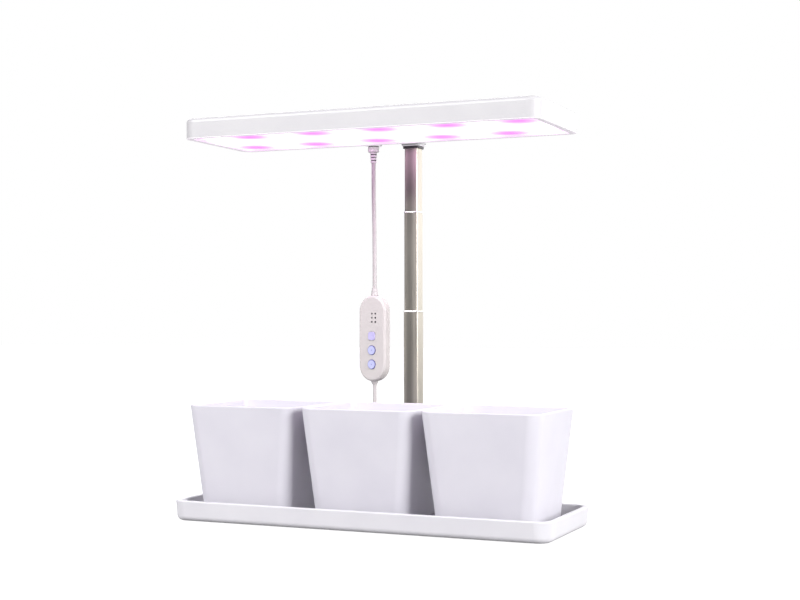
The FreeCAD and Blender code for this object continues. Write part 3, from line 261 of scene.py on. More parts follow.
def square_band(name: str, section: list[tuple[float, float]], half: float, corner: float,
                middle: tuple[float, float]) -> bpy.types.Object:
    """Carries a closed section round a square with round corners, lying level.

    A point stands out from its corner's middle by the corner's radius plus the section's offset, in the
    direction of its angle, at the section's height.

    Args:
        name: The piece's name.
        section: Offsets out from the square and heights, in millimetres, in a loop.
        half: Half the square's side.
        corner: The radius of its corners.
        middle: The square's middle.

    Returns:
        The band.
    """
    offset, height = np.array(section + section[:1], dtype=float).T
    angle = np.concatenate([np.linspace(quarter, quarter + np.pi / 2, CORNER_POINTS)
                            for quarter in np.arange(4) * np.pi / 2])
    corner_x = np.repeat([1, -1, -1, 1], CORNER_POINTS) * (half - corner)
    corner_y = np.repeat([1, 1, -1, -1], CORNER_POINTS) * (half - corner)
    reach = corner + offset[:, None]
    across = middle[0] + corner_x + reach * np.cos(angle)
    back = middle[1] + corner_y + reach * np.sin(angle)
    up = np.broadcast_to(height[:, None], across.shape)
    points = np.stack([across, back, up], axis=-1).reshape(-1, 3) * MM
    return new_piece(name, points, ring_faces(len(offset), len(angle), False))


class ShaderTree:
    """One material's nodes around its Principled shader."""

    def __init__(self, name: str, material: bpy.types.Material | None = None) -> None:
        """Starts a material of that name, or goes on with one.

        Args:
            name: The material's name.
            material: A material that more is added to.
        """
        self.material = material or bpy.data.materials.new(name)
        self.material.use_nodes = True
        self.nodes = self.material.node_tree.nodes
        self.links = self.material.node_tree.links
        self.shader = self.nodes["Principled BSDF"]

    def add(self, kind: str, settings: dict | None = None, inputs: dict | None = None) -> bpy.types.Node:
        """Adds a node, sets its options, and sets or links its inputs.

        Args:
            kind: The node's type name without its ShaderNode prefix.
            settings: The node's own options.
            inputs: Socket names or numbers, each with a value or the output that feeds it.

        Returns:
            The new node.
        """
        node = self.nodes.new("ShaderNode" + kind)
        for option, value in (settings or {}).items():
            setattr(node, option, value)
        for socket, value in (inputs or {}).items():
            self.feed(node.inputs[socket], value)
        return node

    def feed(self, socket: bpy.types.NodeSocket, value: object) -> None:
        """Links an output into a socket, or sets the socket's own value.

        Args:
            socket: The socket that is fed.
            value: A node's output, or a value.
        """
        if isinstance(value, bpy.types.NodeSocket):
            self.links.new(value, socket)
        else:
            socket.default_value = value

    def set(self, **inputs: object) -> None:
        """Sets or links the Principled shader's inputs, with spaces in their names as underscores."""
        for socket, value in inputs.items():
            self.feed(self.shader.inputs[socket.replace("_", " ")], value)

    def place(self, stretch: Point = (1.0, 1.0, 1.0)) -> bpy.types.NodeSocket:
        """Gives the coordinates of a pattern, which are the object's own.

        Args:
            stretch: The pattern's repeats along each axis.

        Returns:
            The stretched coordinates.
        """
        coordinates = self.add("TexCoord").outputs["Object"]
        return self.add("Mapping", inputs={"Vector": coordinates, "Scale": stretch}).outputs["Vector"]

    def mark(self, name: str) -> bpy.types.NodeSocket:
        """Gives a piece's own named value."""
        return self.add("Attribute", {"attribute_name": name}).outputs["Fac"]

    def noise(self, place: bpy.types.NodeSocket, size: float, detail: float = 3.0) -> bpy.types.NodeSocket:
        """Gives a cloudy pattern whose blotches are about that size.

        Args:
            place: The coordinates.
            size: The size of a blotch, in metres.
            detail: How many finer layers it has.

        Returns:
            The pattern's strength, about 0 to 1.
        """
        return self.add("TexNoise", inputs={"Vector": place, "Scale": 1.0 / size, "Detail": detail}
                        ).outputs["Fac"]

    def spread(self, value: bpy.types.NodeSocket, low: float, high: float,
               source: tuple[float, float] = (0.3, 0.7)) -> bpy.types.NodeSocket:
        """Maps a pattern's range to another.

        Args:
            value: The pattern.
            low: What the low end becomes.
            high: What the high end becomes.
            source: The pattern's own range.

        Returns:
            The mapped pattern.
        """
        return self.add("MapRange", inputs={"Value": value, "From Min": source[0], "From Max": source[1],
                                            "To Min": low, "To Max": high}).outputs["Result"]

    def blend(self, factor: bpy.types.NodeSocket, first: Colour | bpy.types.NodeSocket,
              second: Colour | bpy.types.NodeSocket) -> bpy.types.NodeSocket:
        """Mixes two colours by a pattern.

        Args:
            factor: The pattern, 0 for the first colour and 1 for the second.
            first: The first colour.
            second: The second colour.

        Returns:
            The mixed colour.
        """
        ends = [value if isinstance(value, bpy.types.NodeSocket) else (*value, 1.0)
                for value in (first, second)]
        node = self.add("Mix", {"data_type": "RGBA"})
        self.feed(node.inputs[0], factor)
        self.feed(node.inputs[6], ends[0])
        self.feed(node.inputs[7], ends[1])
        return node.outputs[2]

    def arithmetic(self, operation: str, *values: object) -> bpy.types.NodeSocket:
        """Works out one sum, product or the like.

        Args:
            operation: The Math node's operation.
            values: Its inputs in order.

        Returns:
            The result.
        """
        return self.add("Math", {"operation": operation}, dict(enumerate(values))).outputs[0]

    def bump(self, height: bpy.types.NodeSocket, depth: float, under: object = None) -> bpy.types.NodeSocket:
        """Gives the normal of a surface with that relief.

        Args:
            height: The relief's pattern, 0 to 1.
            depth: The relief's depth, in metres.
            under: A coarser normal that this one lies on.

        Returns:
            The normal.
        """
        node = self.add("Bump", inputs={"Height": height, "Distance": depth, "Strength": 1.0})
        if under is not None:
            self.feed(node.inputs["Normal"], under)
        return node.outputs["Normal"]


@dataclass(frozen=True)
class MouldedPlastic:
    """Injection-moulded plastic with a fine spark-eroded grain and faint flow clouds."""

    name: str
    colour: Colour
    shade: Colour
    roughness: float = 0.42
    grain: float = 0.0007
    grain_depth: float = 0.00002
    cloud: float = 0.045
    subsurface: float = 0.0
    scatter: Point = (0.004, 0.003, 0.004)
    coat: float = 0.0
    coat_roughness: float = 0.15

    def make(self) -> bpy.types.Material:
        """Builds the material.

        Returns:
            The material.
        """
        tree = ShaderTree(self.name)
        place = tree.place()
        clouds = tree.noise(place, self.cloud, 2.0)
        grain = tree.noise(place, self.grain, 2.0)
        wave = tree.noise(place, self.cloud / 2, 1.0)
        tree.set(Base_Color=tree.blend(tree.spread(clouds, 0.0, 1.0), self.colour, self.shade),
                 Roughness=tree.spread(grain, self.roughness - 0.05, self.roughness + 0.07),
                 Normal=tree.bump(grain, self.grain_depth, tree.bump(wave, self.grain_depth * 3)),
                 Coat_Weight=self.coat, Coat_Roughness=self.coat_roughness,
                 Subsurface_Weight=self.subsurface, Subsurface_Radius=self.scatter)
        return tree.material


@dataclass(frozen=True)
class BrushedSteel:
    """Stainless tube, brushed along its length, with painted shade: darker down the middle of a face."""

    name: str
    colour: Colour = (0.54, 0.505, 0.44)
    dark: Colour = (0.27, 0.255, 0.225)
    roughness: float = 0.42
    anisotropy: float = 0.6
    streak: float = 0.0005
    streak_tone: float = 0.07
    streak_depth: float = 0.000004
    drawn_out: float = 0.01
    cloud: float = 0.07
    cloud_tone: float = 0.08
    # Painted shade: the middle across X and the reach of the dark band painted down each face, standing in
    # for the reflection's shading.
    shade_band_middle: float = -0.0015
    shade_band_reach: float = 0.0085

    def make(self) -> bpy.types.Material:
        """Builds the material.

        Returns:
            The material.
        """
        tree = ShaderTree(self.name)
        streaks = tree.noise(tree.place(stretch=(1.0, 1.0, self.drawn_out)), self.streak, 2.0)
        clouds = tree.noise(tree.place(), self.cloud, 1.0)
        # Painted shade: the colour darkens towards a line down the middle of each face, by the distance
        # across X, and the streaks and clouds then vary it.
        across = tree.add("SeparateXYZ", inputs={"Vector": tree.place()}).outputs["X"]
        away = tree.arithmetic("ABSOLUTE", tree.arithmetic("SUBTRACT", across, self.shade_band_middle))
        band = tree.add("MapRange", {"interpolation_type": "SMOOTHERSTEP"},
                        {"Value": away, "From Min": 0.0, "From Max": self.shade_band_reach}).outputs["Result"]
        tone = tree.arithmetic("ADD", band, tree.spread(streaks, -self.streak_tone, self.streak_tone))
        tone = tree.arithmetic("ADD", tone, tree.spread(clouds, -self.cloud_tone, self.cloud_tone))
        tree.set(Base_Color=tree.blend(tone, self.dark, self.colour), Metallic=1.0,
                 Roughness=tree.spread(streaks, self.roughness - 0.05, self.roughness + 0.07),
                 Anisotropic=self.anisotropy, Normal=tree.bump(streaks, self.streak_depth))
        return tree.material


@dataclass(frozen=True)
class TurnedMetal:
    """Plain bright metal of a screw, a washer or a plug's shell, with fine turning marks."""

    name: str
    colour: Colour
    roughness: float = 0.24
    mark: float = 0.0004
    mark_depth: float = 0.000008
    tarnish: float = 0.004
    dulled: float = 0.8

    def make(self) -> bpy.types.Material:
        """Builds the material.

        Returns:
            The material.
        """
        tree = ShaderTree(self.name)
        place = tree.place()
        marks = tree.noise(place, self.mark, 2.0)
        tarnish = tree.noise(place, self.tarnish, 3.0)
        dull = tuple(self.dulled * part for part in self.colour)
        tree.set(Base_Color=tree.blend(tree.spread(tarnish, 0.0, 1.0), self.colour, dull), Metallic=1.0,
                 Roughness=tree.spread(marks, self.roughness - 0.06, self.roughness + 0.1),
                 Normal=tree.bump(marks, self.mark_depth))
        return tree.material


@dataclass(frozen=True)
class LitDiffuser:
    """Frosted sheet lit from behind, white with a magenta spot under each grow light."""

    name: str
    colour: Colour = (0.30, 0.29, 0.30)
    glow: Colour = (1.0, 0.68, 0.98)
    spot: Colour = (0.90, 0.20, 0.96)
    strength: float = 2.5
    spot_strength: float = 0.95
    pitch: float = 0.072
    offset: float = 0.018
    row: float = 0.0395
    spot_inner: float = 0.001
    spot_outer: float = 0.036
    frost: float = 0.0006
    frost_depth: float = 0.00002

    def row_of_spots(self, tree: ShaderTree, side: float) -> bpy.types.NodeSocket:
        """Gives the spots of one row, from the distance to the nearest light in it.

        Args:
            tree: The material's nodes.
            side: -1 for the front row and 1 for the back row.

        Returns:
            1 in the middle of each spot, falling to 0 at its edge.
        """
        parts = tree.add("SeparateXYZ", inputs={"Vector": tree.place()})
        along = tree.arithmetic("ADD", parts.outputs["X"], side * self.offset)
        along = tree.arithmetic("WRAP", along, self.pitch / 2, -self.pitch / 2)
        across = tree.arithmetic("SUBTRACT", parts.outputs["Y"], side * self.row)
        ground = tree.add("CombineXYZ", inputs={"X": along, "Y": across})
        away = tree.add("VectorMath", {"operation": "LENGTH"}, {0: ground.outputs["Vector"]}).outputs["Value"]
        return tree.add("MapRange", {"interpolation_type": "SMOOTHSTEP"},
                        {"Value": away, "From Min": self.spot_inner, "From Max": self.spot_outer,
                         "To Min": 1.0, "To Max": 0.0}).outputs["Result"]

    def make(self) -> bpy.types.Material:
        """Builds the material.

        Returns:
            The material.
        """
        tree = ShaderTree(self.name)
        spots = tree.arithmetic("MAXIMUM", self.row_of_spots(tree, -1.0), self.row_of_spots(tree, 1.0))
        frost = tree.noise(tree.place(), self.frost, 2.0)
        tree.set(Base_Color=tree.blend(tree.spread(frost, 0.0, 1.0), self.colour,
                                       tuple(0.96 * part for part in self.colour)),
                 Roughness=0.55, Normal=tree.bump(frost, self.frost_depth),
                 Emission_Color=tree.blend(spots, self.glow, self.spot),
                 Emission_Strength=tree.spread(spots, self.strength, self.spot_strength, (0.0, 1.0)))
        return tree.material


@dataclass(frozen=True)
class CordJacket:
    """Soft vinyl jacket with a faint waviness, fine pores and a cloudy tone."""

    name: str
    colour: Colour = (0.47, 0.445, 0.44)
    shade: Colour = (0.42, 0.40, 0.395)
    cloud: float = 0.02
    pore: float = 0.0004
    pore_depth: float = 0.00001
    lump: float = 0.006
    lump_depth: float = 0.00008
    scatter: Point = (0.002, 0.0015, 0.0015)

    def make(self) -> bpy.types.Material:
        """Builds the material.

        Returns:
            The material.
        """
        tree = ShaderTree(self.name)
        place = tree.place()
        clouds = tree.noise(place, self.cloud, 2.0)
        pores = tree.noise(place, self.pore, 2.0)
        lumps = tree.noise(place, self.lump, 1.0)
        tree.set(Base_Color=tree.blend(tree.spread(clouds, 0.0, 1.0), self.colour, self.shade),
                 Roughness=tree.spread(pores, 0.38, 0.5),
                 Normal=tree.bump(pores, self.pore_depth, tree.bump(lumps, self.lump_depth)),
                 Subsurface_Weight=0.1, Subsurface_Radius=self.scatter)
        return tree.material


@dataclass(frozen=True)
class CastLens:
    """Clear cast resin over a small light."""

    name: str
    colour: Colour
    glow: Colour
    strength: float

    def make(self) -> bpy.types.Material:
        """Builds the material.

        Returns:
            The material.
        """
        tree = ShaderTree(self.name)
        haze = tree.noise(tree.place(), 0.0008, 1.0)
        tree.set(Base_Color=tree.blend(tree.spread(haze, 0.0, 1.0), self.colour,
                                       tuple(0.85 * part for part in self.colour)),
                 Roughness=0.3, Coat_Weight=0.2, Coat_Roughness=0.1,
                 Emission_Color=(*self.glow, 1.0), Emission_Strength=self.strength)
        return tree.material


@dataclass(frozen=True)
class PaintedGlowFrame:
    """Frame round the lit sheet, with a painted glow: it emits a faint light of its own in place of the
    sheet's light falling on it.
    """

    name: str
    colour: Colour = (0.62, 0.60, 0.63)
    glow: Colour = (1.0, 0.93, 1.0)
    strength: float = 0.42

    def make(self) -> bpy.types.Material:
        """Builds the material.

        Returns:
            The material.
        """
        tree = ShaderTree(self.name)
        # Painted glow: the frame emits a faint cloudy light of its own.
        clouds = tree.noise(tree.place(), 0.03, 2.0)
        tree.set(Base_Color=tree.blend(tree.spread(clouds, 0.0, 1.0), self.colour,
                                       tuple(0.94 * part for part in self.colour)),
                 Roughness=0.45, Emission_Color=(*self.glow, 1.0),
                 Emission_Strength=tree.spread(clouds, self.strength * 0.9, self.strength))
        return tree.material


@dataclass(frozen=True)
class PaintedRimGlowShell:
    """The lamp's moulded shell, with a painted glow on its lower rim that emits light of its own where the
    lamp's light falls on it.
    """

    plastic: MouldedPlastic
    # Painted glow: its colour, its strength, and the heights of the rim over which it fades out.
    glow: Colour = (1.0, 0.92, 1.0)
    strength: float = 0.55
    rim: float = 0.3889
    rim_end: float = 0.3899

    def make(self) -> bpy.types.Material:
        """Builds the plastic's material and adds the painted glow on the rim, which fades with height.

        Returns:
            The material.
        """
        tree = ShaderTree(self.plastic.name, self.plastic.make())
        height = tree.add("SeparateXYZ", inputs={"Vector": tree.place()}).outputs["Z"]
        # Painted glow: the rim's bottom millimetre emits light, fading to none with height.
        tree.set(Emission_Color=(*self.glow, 1.0),
                 Emission_Strength=tree.spread(height, self.strength, 0.0, (self.rim, self.rim_end)))
        return tree.material


@dataclass(frozen=True)
class ShadePaintedPlastic:
    """Moulded plastic with painted shade: its grooves and hollows are painted near black where shade falls.
    """

    name: str
    colour: Colour
    painted_shade: Colour
    roughness: float = 0.42

    def make(self) -> bpy.types.Material:
        """Builds the material.

        Returns:
            The material.
        """
        tree = ShaderTree(self.name)
        grain = tree.noise(tree.place(), 0.0006, 2.0)
        # Painted shade: the colour goes near black where the points are marked for painted shade.
        shade_amount = tree.arithmetic("MULTIPLY", tree.mark("painted_shade"), tree.spread(grain, 0.8, 1.0))
        tree.set(Base_Color=tree.blend(shade_amount, self.colour, self.painted_shade),
                 Roughness=tree.spread(grain, self.roughness - 0.05, self.roughness + 0.08),
                 Normal=tree.bump(grain, 0.00001))
        return tree.material


@dataclass(frozen=True)
class ButtonCap:
    """Glossy translucent cap, dark round its edge, with a small dark mark in its middle."""

    name: str
    colour: Colour
    edge: Colour
    edge_from: float = 0.66
    edge_to: float = 0.80
    mark_size: float = 0.16

    def make(self) -> bpy.types.Material:
        """Builds the material.

        Returns:
            The material.
        """
        tree = ShaderTree(self.name)
        spread = tree.mark("spread")
        haze = tree.noise(tree.place(), 0.0015, 2.0)
        rim = tree.spread(spread, 0.0, 1.0, (self.edge_from, self.edge_to))
        middle = tree.spread(spread, 0.6, 0.0, (self.mark_size * 0.4, self.mark_size))
        shade = tree.arithmetic("MAXIMUM", rim, middle)
        cloudy = tree.blend(tree.spread(haze, 0.0, 1.0), self.colour,
                            tuple(0.93 * part for part in self.colour))
        tree.set(Base_Color=tree.blend(shade, cloudy, self.edge), Roughness=0.3,
                 Coat_Weight=0.3, Coat_Roughness=0.2, Normal=tree.bump(haze, 0.00001))
        return tree.material


FINISHES = {
    "pot_plastic": MouldedPlastic("pot_plastic", (0.60, 0.585, 0.63), (0.565, 0.55, 0.60), 0.38,
                                  subsurface=0.04),
    "tray_plastic": MouldedPlastic("tray_plastic", (0.64, 0.63, 0.655), (0.605, 0.595, 0.625), 0.36),
    # The lamp's shell wears a painted glow on its lower rim.
    "lamp_plastic": PaintedRimGlowShell(MouldedPlastic("lamp_plastic", (0.50, 0.49, 0.50),
                                             (0.475, 0.465, 0.48), 0.4)),
    "diffuser_sheet": LitDiffuser("diffuser_sheet"),
    "pole_steel": BrushedSteel("pole_steel"),
    "screw_steel": TurnedMetal("screw_steel", (0.62, 0.61, 0.60)),
    "plug_metal": TurnedMetal("plug_metal", (0.75, 0.75, 0.76), 0.16),
    "dark_plastic": MouldedPlastic("dark_plastic", (0.045, 0.035, 0.045), (0.06, 0.05, 0.06), 0.45),
    "inner_plastic": MouldedPlastic("inner_plastic", (0.16, 0.16, 0.175), (0.13, 0.13, 0.145), 0.5),
    "control_plastic": MouldedPlastic("control_plastic", (0.54, 0.515, 0.495), (0.51, 0.485, 0.47), 0.45),
    "button_plastic": ButtonCap("button_plastic", (0.48, 0.51, 0.77), (0.12, 0.12, 0.32)),
    "lens_plastic": CastLens("lens_plastic", (0.025, 0.022, 0.026), (1.0, 1.0, 1.0), 0.0),
    "cord_jacket": CordJacket("cord_jacket"),
    # The gland's grooves and the top of its cap are painted near black as shade.
    "gland_plastic": ShadePaintedPlastic("gland_plastic", (0.80, 0.77, 0.77), (0.03, 0.025, 0.03)),
    "pad_rubber": MouldedPlastic("pad_rubber", (0.10, 0.10, 0.105), (0.13, 0.13, 0.135), 0.75,
                                 grain_depth=0.00006),
    "board_resin": MouldedPlastic("board_resin", (0.80, 0.80, 0.80), (0.76, 0.76, 0.76), 0.3, coat=0.4),
    "white_led": CastLens("white_led", (0.85, 0.80, 0.55), (1.0, 0.97, 0.9), 3.0),
    "grow_led": CastLens("grow_led", (0.80, 0.25, 0.65), (1.0, 0.2, 0.75), 3.0),
    "tongue_plastic": MouldedPlastic("tongue_plastic", (0.82, 0.82, 0.84), (0.78, 0.78, 0.80), 0.4),
}
# The bezel wears a painted glow.
NODE_FINISHES = {"lamp_bezel": PaintedGlowFrame("bezel_painted_glow")}
CAP_FINISHES = {"power": ButtonCap("power_lilac", (0.49, 0.46, 0.72), (0.40, 0.36, 0.60), 0.6, 0.95, 0.001)}
LIP_FINISH = TurnedMetal("rolled_steel", (0.93, 0.92, 0.90), 0.3)


class Wardrobe:
    """The finishes as materials, and which node wears which."""

    def __init__(self, frame: dict) -> None:
        """Makes every finish's material.
        """
        self.materials = {slot: finish.make() for slot, finish in FINISHES.items()}
        self.caps = {name: finish.make() for name, finish in CAP_FINISHES.items()}
        self.bright = LIP_FINISH.make()
        self.slots = {part["node"]: part["material_slot"] for part in frame["record"]["subparts"]}
        self.nodes = frame["nodes"]

    def dress(self, obj: bpy.types.Object, slot: str, own: bpy.types.Material | None = None) -> None:
        """Puts a finish on a new piece, the slot's finish unless it has its own.

        Args:
            obj: The piece.
            slot: The record's material slot.
            own: A finish of the piece's own, instead of the slot's.
        """
        obj.data.materials.clear()
        obj.data.materials.append(own or self.materials[slot])

    def dress_nodes(self) -> None:
        """Puts its slot's finish on every node of the frame."""
        for name, slot in self.slots.items():
            finish = NODE_FINISHES[name].make() if name in NODE_FINISHES else self.materials[slot]
            for material_slot in self.nodes[name].material_slots:
                material_slot.material = finish
            LOG.info("%s wears %s", name, finish.name)


@dataclass(frozen=True)
class PhotoCamera:
    """The camera that took the picture, worked out from the object's edges."""

    position: Point = (0.5868, -1.2846, 0.2046)
    yaw: float = 23.67
    pitch: float = 0.80
    roll: float = 0.03
    focal_pixels: float = 1404.2
    picture_width: float = 800.0
    sensor_width_mm: float = 36.0

    def make(self) -> None:
        """Adds the camera and makes it the scene's."""
        data = bpy.data.cameras.new("photo_camera")
        data.sensor_width = self.sensor_width_mm
        data.lens = self.focal_pixels / self.picture_width * self.sensor_width_mm
        camera = bpy.data.objects.new("photo_camera", data)
        camera.location = self.position
        camera.rotation_euler = (math.radians(90.0 + self.pitch), math.radians(self.roll),
                                 math.radians(self.yaw))
        bpy.context.collection.objects.link(camera)
        bpy.context.scene.camera = camera


@dataclass(frozen=True)
class SoftLamp:
    """One soft square lamp that looks at the middle of the object."""

    name: str
    place: Point
    size: float
    power: float
    target: Point = (0.0, 0.0, 0.2)

    def make(self) -> None:
        """Adds the lamp."""
        data = bpy.data.lights.new(self.name, "AREA")
        data.size = self.size
        data.energy = self.power
        lamp = bpy.data.objects.new(self.name, data)
        lamp.location = self.place
        toward = np.array(self.target) - np.array(self.place)
        level = math.hypot(toward[0], toward[1])
        lamp.rotation_euler = (math.atan2(level, -toward[2]), 0.0,
                               math.atan2(toward[1], toward[0]) - math.pi / 2)
        bpy.context.collection.objects.link(lamp)


@dataclass(frozen=True)
class Studio:
    """A plain pale floor under soft light, brightest from behind on the right."""

    floor_reach: float = 8.0
    floor_colour: Colour = (0.30, 0.30, 0.30)
    floor_lift: float = 0.93
    floor_cloud: float = 0.4
    floor_shade: float = 0.985
    bright_side: Point = (0.42, 0.90, 0.12)
    bright_from: float = 0.55
    dim_level: float = 0.1
    dim_colour: Colour = (0.70, 0.64, 1.0)
    bright_level: float = 2.2
    lamps: tuple[SoftLamp, ...] = (
        SoftLamp("front_lamp", (-1.2, -2.2, 1.8), 1.4, 114.0),
        SoftLamp("right_lamp", (2.0, -0.5, 0.8), 1.0, 60.0),
        SoftLamp("back_lamp", (-1.3, 2.2, 1.5), 1.6, 40.0),
    )

    def make_floor(self) -> None:
        """Lays the floor, which the picture shows white and the object sees pale grey."""
        reach = self.floor_reach
        mesh = bpy.data.meshes.new("floor")
        mesh.from_pydata([(-reach, -reach, 0.0), (reach, -reach, 0.0), (reach, reach, 0.0),
                          (-reach, reach, 0.0)], [], [(0, 1, 2, 3)])
        floor = bpy.data.objects.new("floor", mesh)
        bpy.context.collection.objects.link(floor)
        tree = ShaderTree("floor_paper")
        clouds = tree.noise(tree.place(), self.floor_cloud, 2.0)
        shade = tuple(self.floor_shade * part for part in self.floor_colour)
        sight = tree.add("LightPath").outputs["Is Camera Ray"]
        tree.set(Base_Color=tree.blend(tree.spread(clouds, 0.0, 1.0), self.floor_colour, shade),
                 Roughness=0.8, Emission_Color=(1.0, 1.0, 1.0, 1.0),
                 Emission_Strength=tree.arithmetic("MULTIPLY", sight, self.floor_lift))
        mesh.materials.append(tree.material)

    def make_sky(self) -> None:
        """Surrounds the scene with white light that is brighter towards one side."""
        world = bpy.data.worlds.new("studio")
        world.use_nodes = True
        nodes = world.node_tree.nodes
        links = world.node_tree.links
        way = nodes.new("ShaderNodeTexCoord").outputs["Generated"]
        toward = nodes.new("ShaderNodeVectorMath")
        toward.operation = "DOT_PRODUCT"
        toward.inputs[1].default_value = self.bright_side
        level = nodes.new("ShaderNodeMapRange")
        level.interpolation_type = "SMOOTHSTEP"
        level.inputs["From Min"].default_value = self.bright_from
        level.inputs["To Min"].default_value = self.dim_level
        level.inputs["To Max"].default_value = self.bright_level
        seen = nodes.new("ShaderNodeMix")
        sight = nodes.new("ShaderNodeLightPath").outputs["Is Camera Ray"]
        links.new(way, toward.inputs[0])
        links.new(toward.outputs["Value"], level.inputs["Value"])
        links.new(sight, seen.inputs["Factor"])
        links.new(level.outputs["Result"], seen.inputs["A"])
        seen.inputs["B"].default_value = 1.0
        links.new(seen.outputs["Result"], nodes["Background"].inputs["Strength"])
        whiter = nodes.new("ShaderNodeMath")
        whiter.operation = "MAXIMUM"
        links.new(level.outputs["Result"], whiter.inputs[0])
        links.new(sight, whiter.inputs[1])
        tint = nodes.new("ShaderNodeMix")
        tint.data_type = "RGBA"
        links.new(whiter.outputs[0], tint.inputs[0])
        tint.inputs[6].default_value = (*self.dim_colour, 1.0)
        tint.inputs[7].default_value = (1.0, 1.0, 1.0, 1.0)
        links.new(tint.outputs[2], nodes["Background"].inputs["Color"])
        bpy.context.scene.world = world

    def make(self) -> None:
        """Makes the floor, the sky and the lamps."""
        self.make_floor()
        self.make_sky()
        for lamp in self.lamps:
            lamp.make()
        bpy.context.scene.view_settings.view_transform = "Standard"


@dataclass(frozen=True)
class CrossScrew:
    """A pan-head screw with a cross recess, sizes in millimetres, told from the top of its head."""

    name: str
    seat: Seat
    head_radius: float
    head_height: float
    shank_radius: float
    length: float
    dome_points: int = 17
    dome_share: float = 0.94
    dome_fall: float = 0.25
    edge_fall: float = 0.45
    thread_pitch: float = 0.35
    thread_root: float = 0.84
    point_length: float = 1.6
    cross_arm: float = 0.62
    cross_half_width: float = 0.16
    cross_depth: float = 0.42

    def profile(self) -> list[tuple[float, float, float]]:
        """Works out the screw's outline, domed over the head and pointed at the tip.

        The dome falls by a quarter of the head's height with the fourth power of the distance from the
        axis, and the shank carries a thread whose radius goes in and out as a triangle wave.

        Returns:
            Radius, height and painted shade, from the top of the head to the tip.
        """
        share = np.linspace(0, self.dome_share, self.dome_points)
        top = [(self.head_radius * part, -self.dome_fall * self.head_height * part ** 4, 0.0)
               for part in share]
        low = -self.head_height
        edge = [(self.head_radius, -self.edge_fall * self.head_height, 0.0), (self.head_radius, low, 0.3)]
        turns = np.arange(low, self.point_length * self.shank_radius - self.length, -self.thread_pitch)
        thread = [(self.shank_radius * (1.0 if step % 2 else self.thread_root), place, 0.2)
                  for step, place in enumerate(turns)]
        return top + edge + thread + [(0.0, -self.length, 0.0)]

    def make(self) -> bpy.types.Object:
        """Makes the screw.

        Returns:
            The screw.
        """
        recess = (self.cross_arm * self.head_radius, self.cross_half_width * self.head_radius,
                  self.cross_depth * self.head_height)
        return turned_piece(self.name, self.profile(), self.seat, 64, recess=recess)


@dataclass(frozen=True)
class Pole:
    """The rolled lips round the tops of the pole's two outer tubes, and the screws at its ends."""

    wardrobe: Wardrobe
    middle: tuple[float, float] = (0.0, 90.0)
    corner: float = 2.3
    lip_in: float = 0.33
    lip_out: float = 0.32
    lip_height: float = 1.5
    lip_over: float = 0.06
    lips: tuple[tuple[str, Body, float, float], ...] = (
        ("lower_lip", Body.BASE, 8.31, 213.9),
        ("middle_lip", Body.MIDDLE, 7.93, 319.3),
    )
    screw_head: float = 3.6
    screw_head_height: float = 2.2
    screw_shank: float = 1.95
    screw_length: float = 17.2
    top_screw: float = 405.9
    foot_screw: float = 1.4

    def lip_section(self, top: float) -> list[tuple[float, float]]:
        """Works out a lip's section: a half round outside, standing on the tube's wall.

        Args:
            top: The tube's top, in millimetres.

        Returns:
            Offsets from the tube's outside and heights.
        """
        turn = np.linspace(-np.pi / 2, np.pi / 2, 9)
        middle = top + self.lip_over - self.lip_height / 2
        bulge = [(self.lip_out * math.cos(angle), middle + self.lip_height / 2 * math.sin(angle))
                 for angle in turn]
        return bulge + [(-self.lip_in, top + self.lip_over), (-self.lip_in, top - 0.02), (-0.1, top - 0.02)]

    def make(self) -> None:
        """Makes the lips and the screws."""
        for name, body, half, top in self.lips:
            lip = square_band(name, self.lip_section(top), half, self.corner, self.middle)
            self.wardrobe.dress(lip, "screw_steel", self.wardrobe.bright)
            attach(lip, body.value)
        for node, body, height, way in (("pole_head_screw", Body.LAMP, self.top_screw, 1.0),
                                        ("pole_foot_screw", Body.BASE, self.foot_screw, -1.0)):
            seat = Seat((*np.multiply(self.middle, MM), height * MM), (0.0, 0.0, way), (0.0, 1.0, 0.0))
            screw = CrossScrew(node + "_cross", seat, self.screw_head, self.screw_head_height,
                               self.screw_shank, self.screw_length).make()
            self.wardrobe.dress(screw, "screw_steel")
            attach(screw, body.value)
            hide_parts(node)


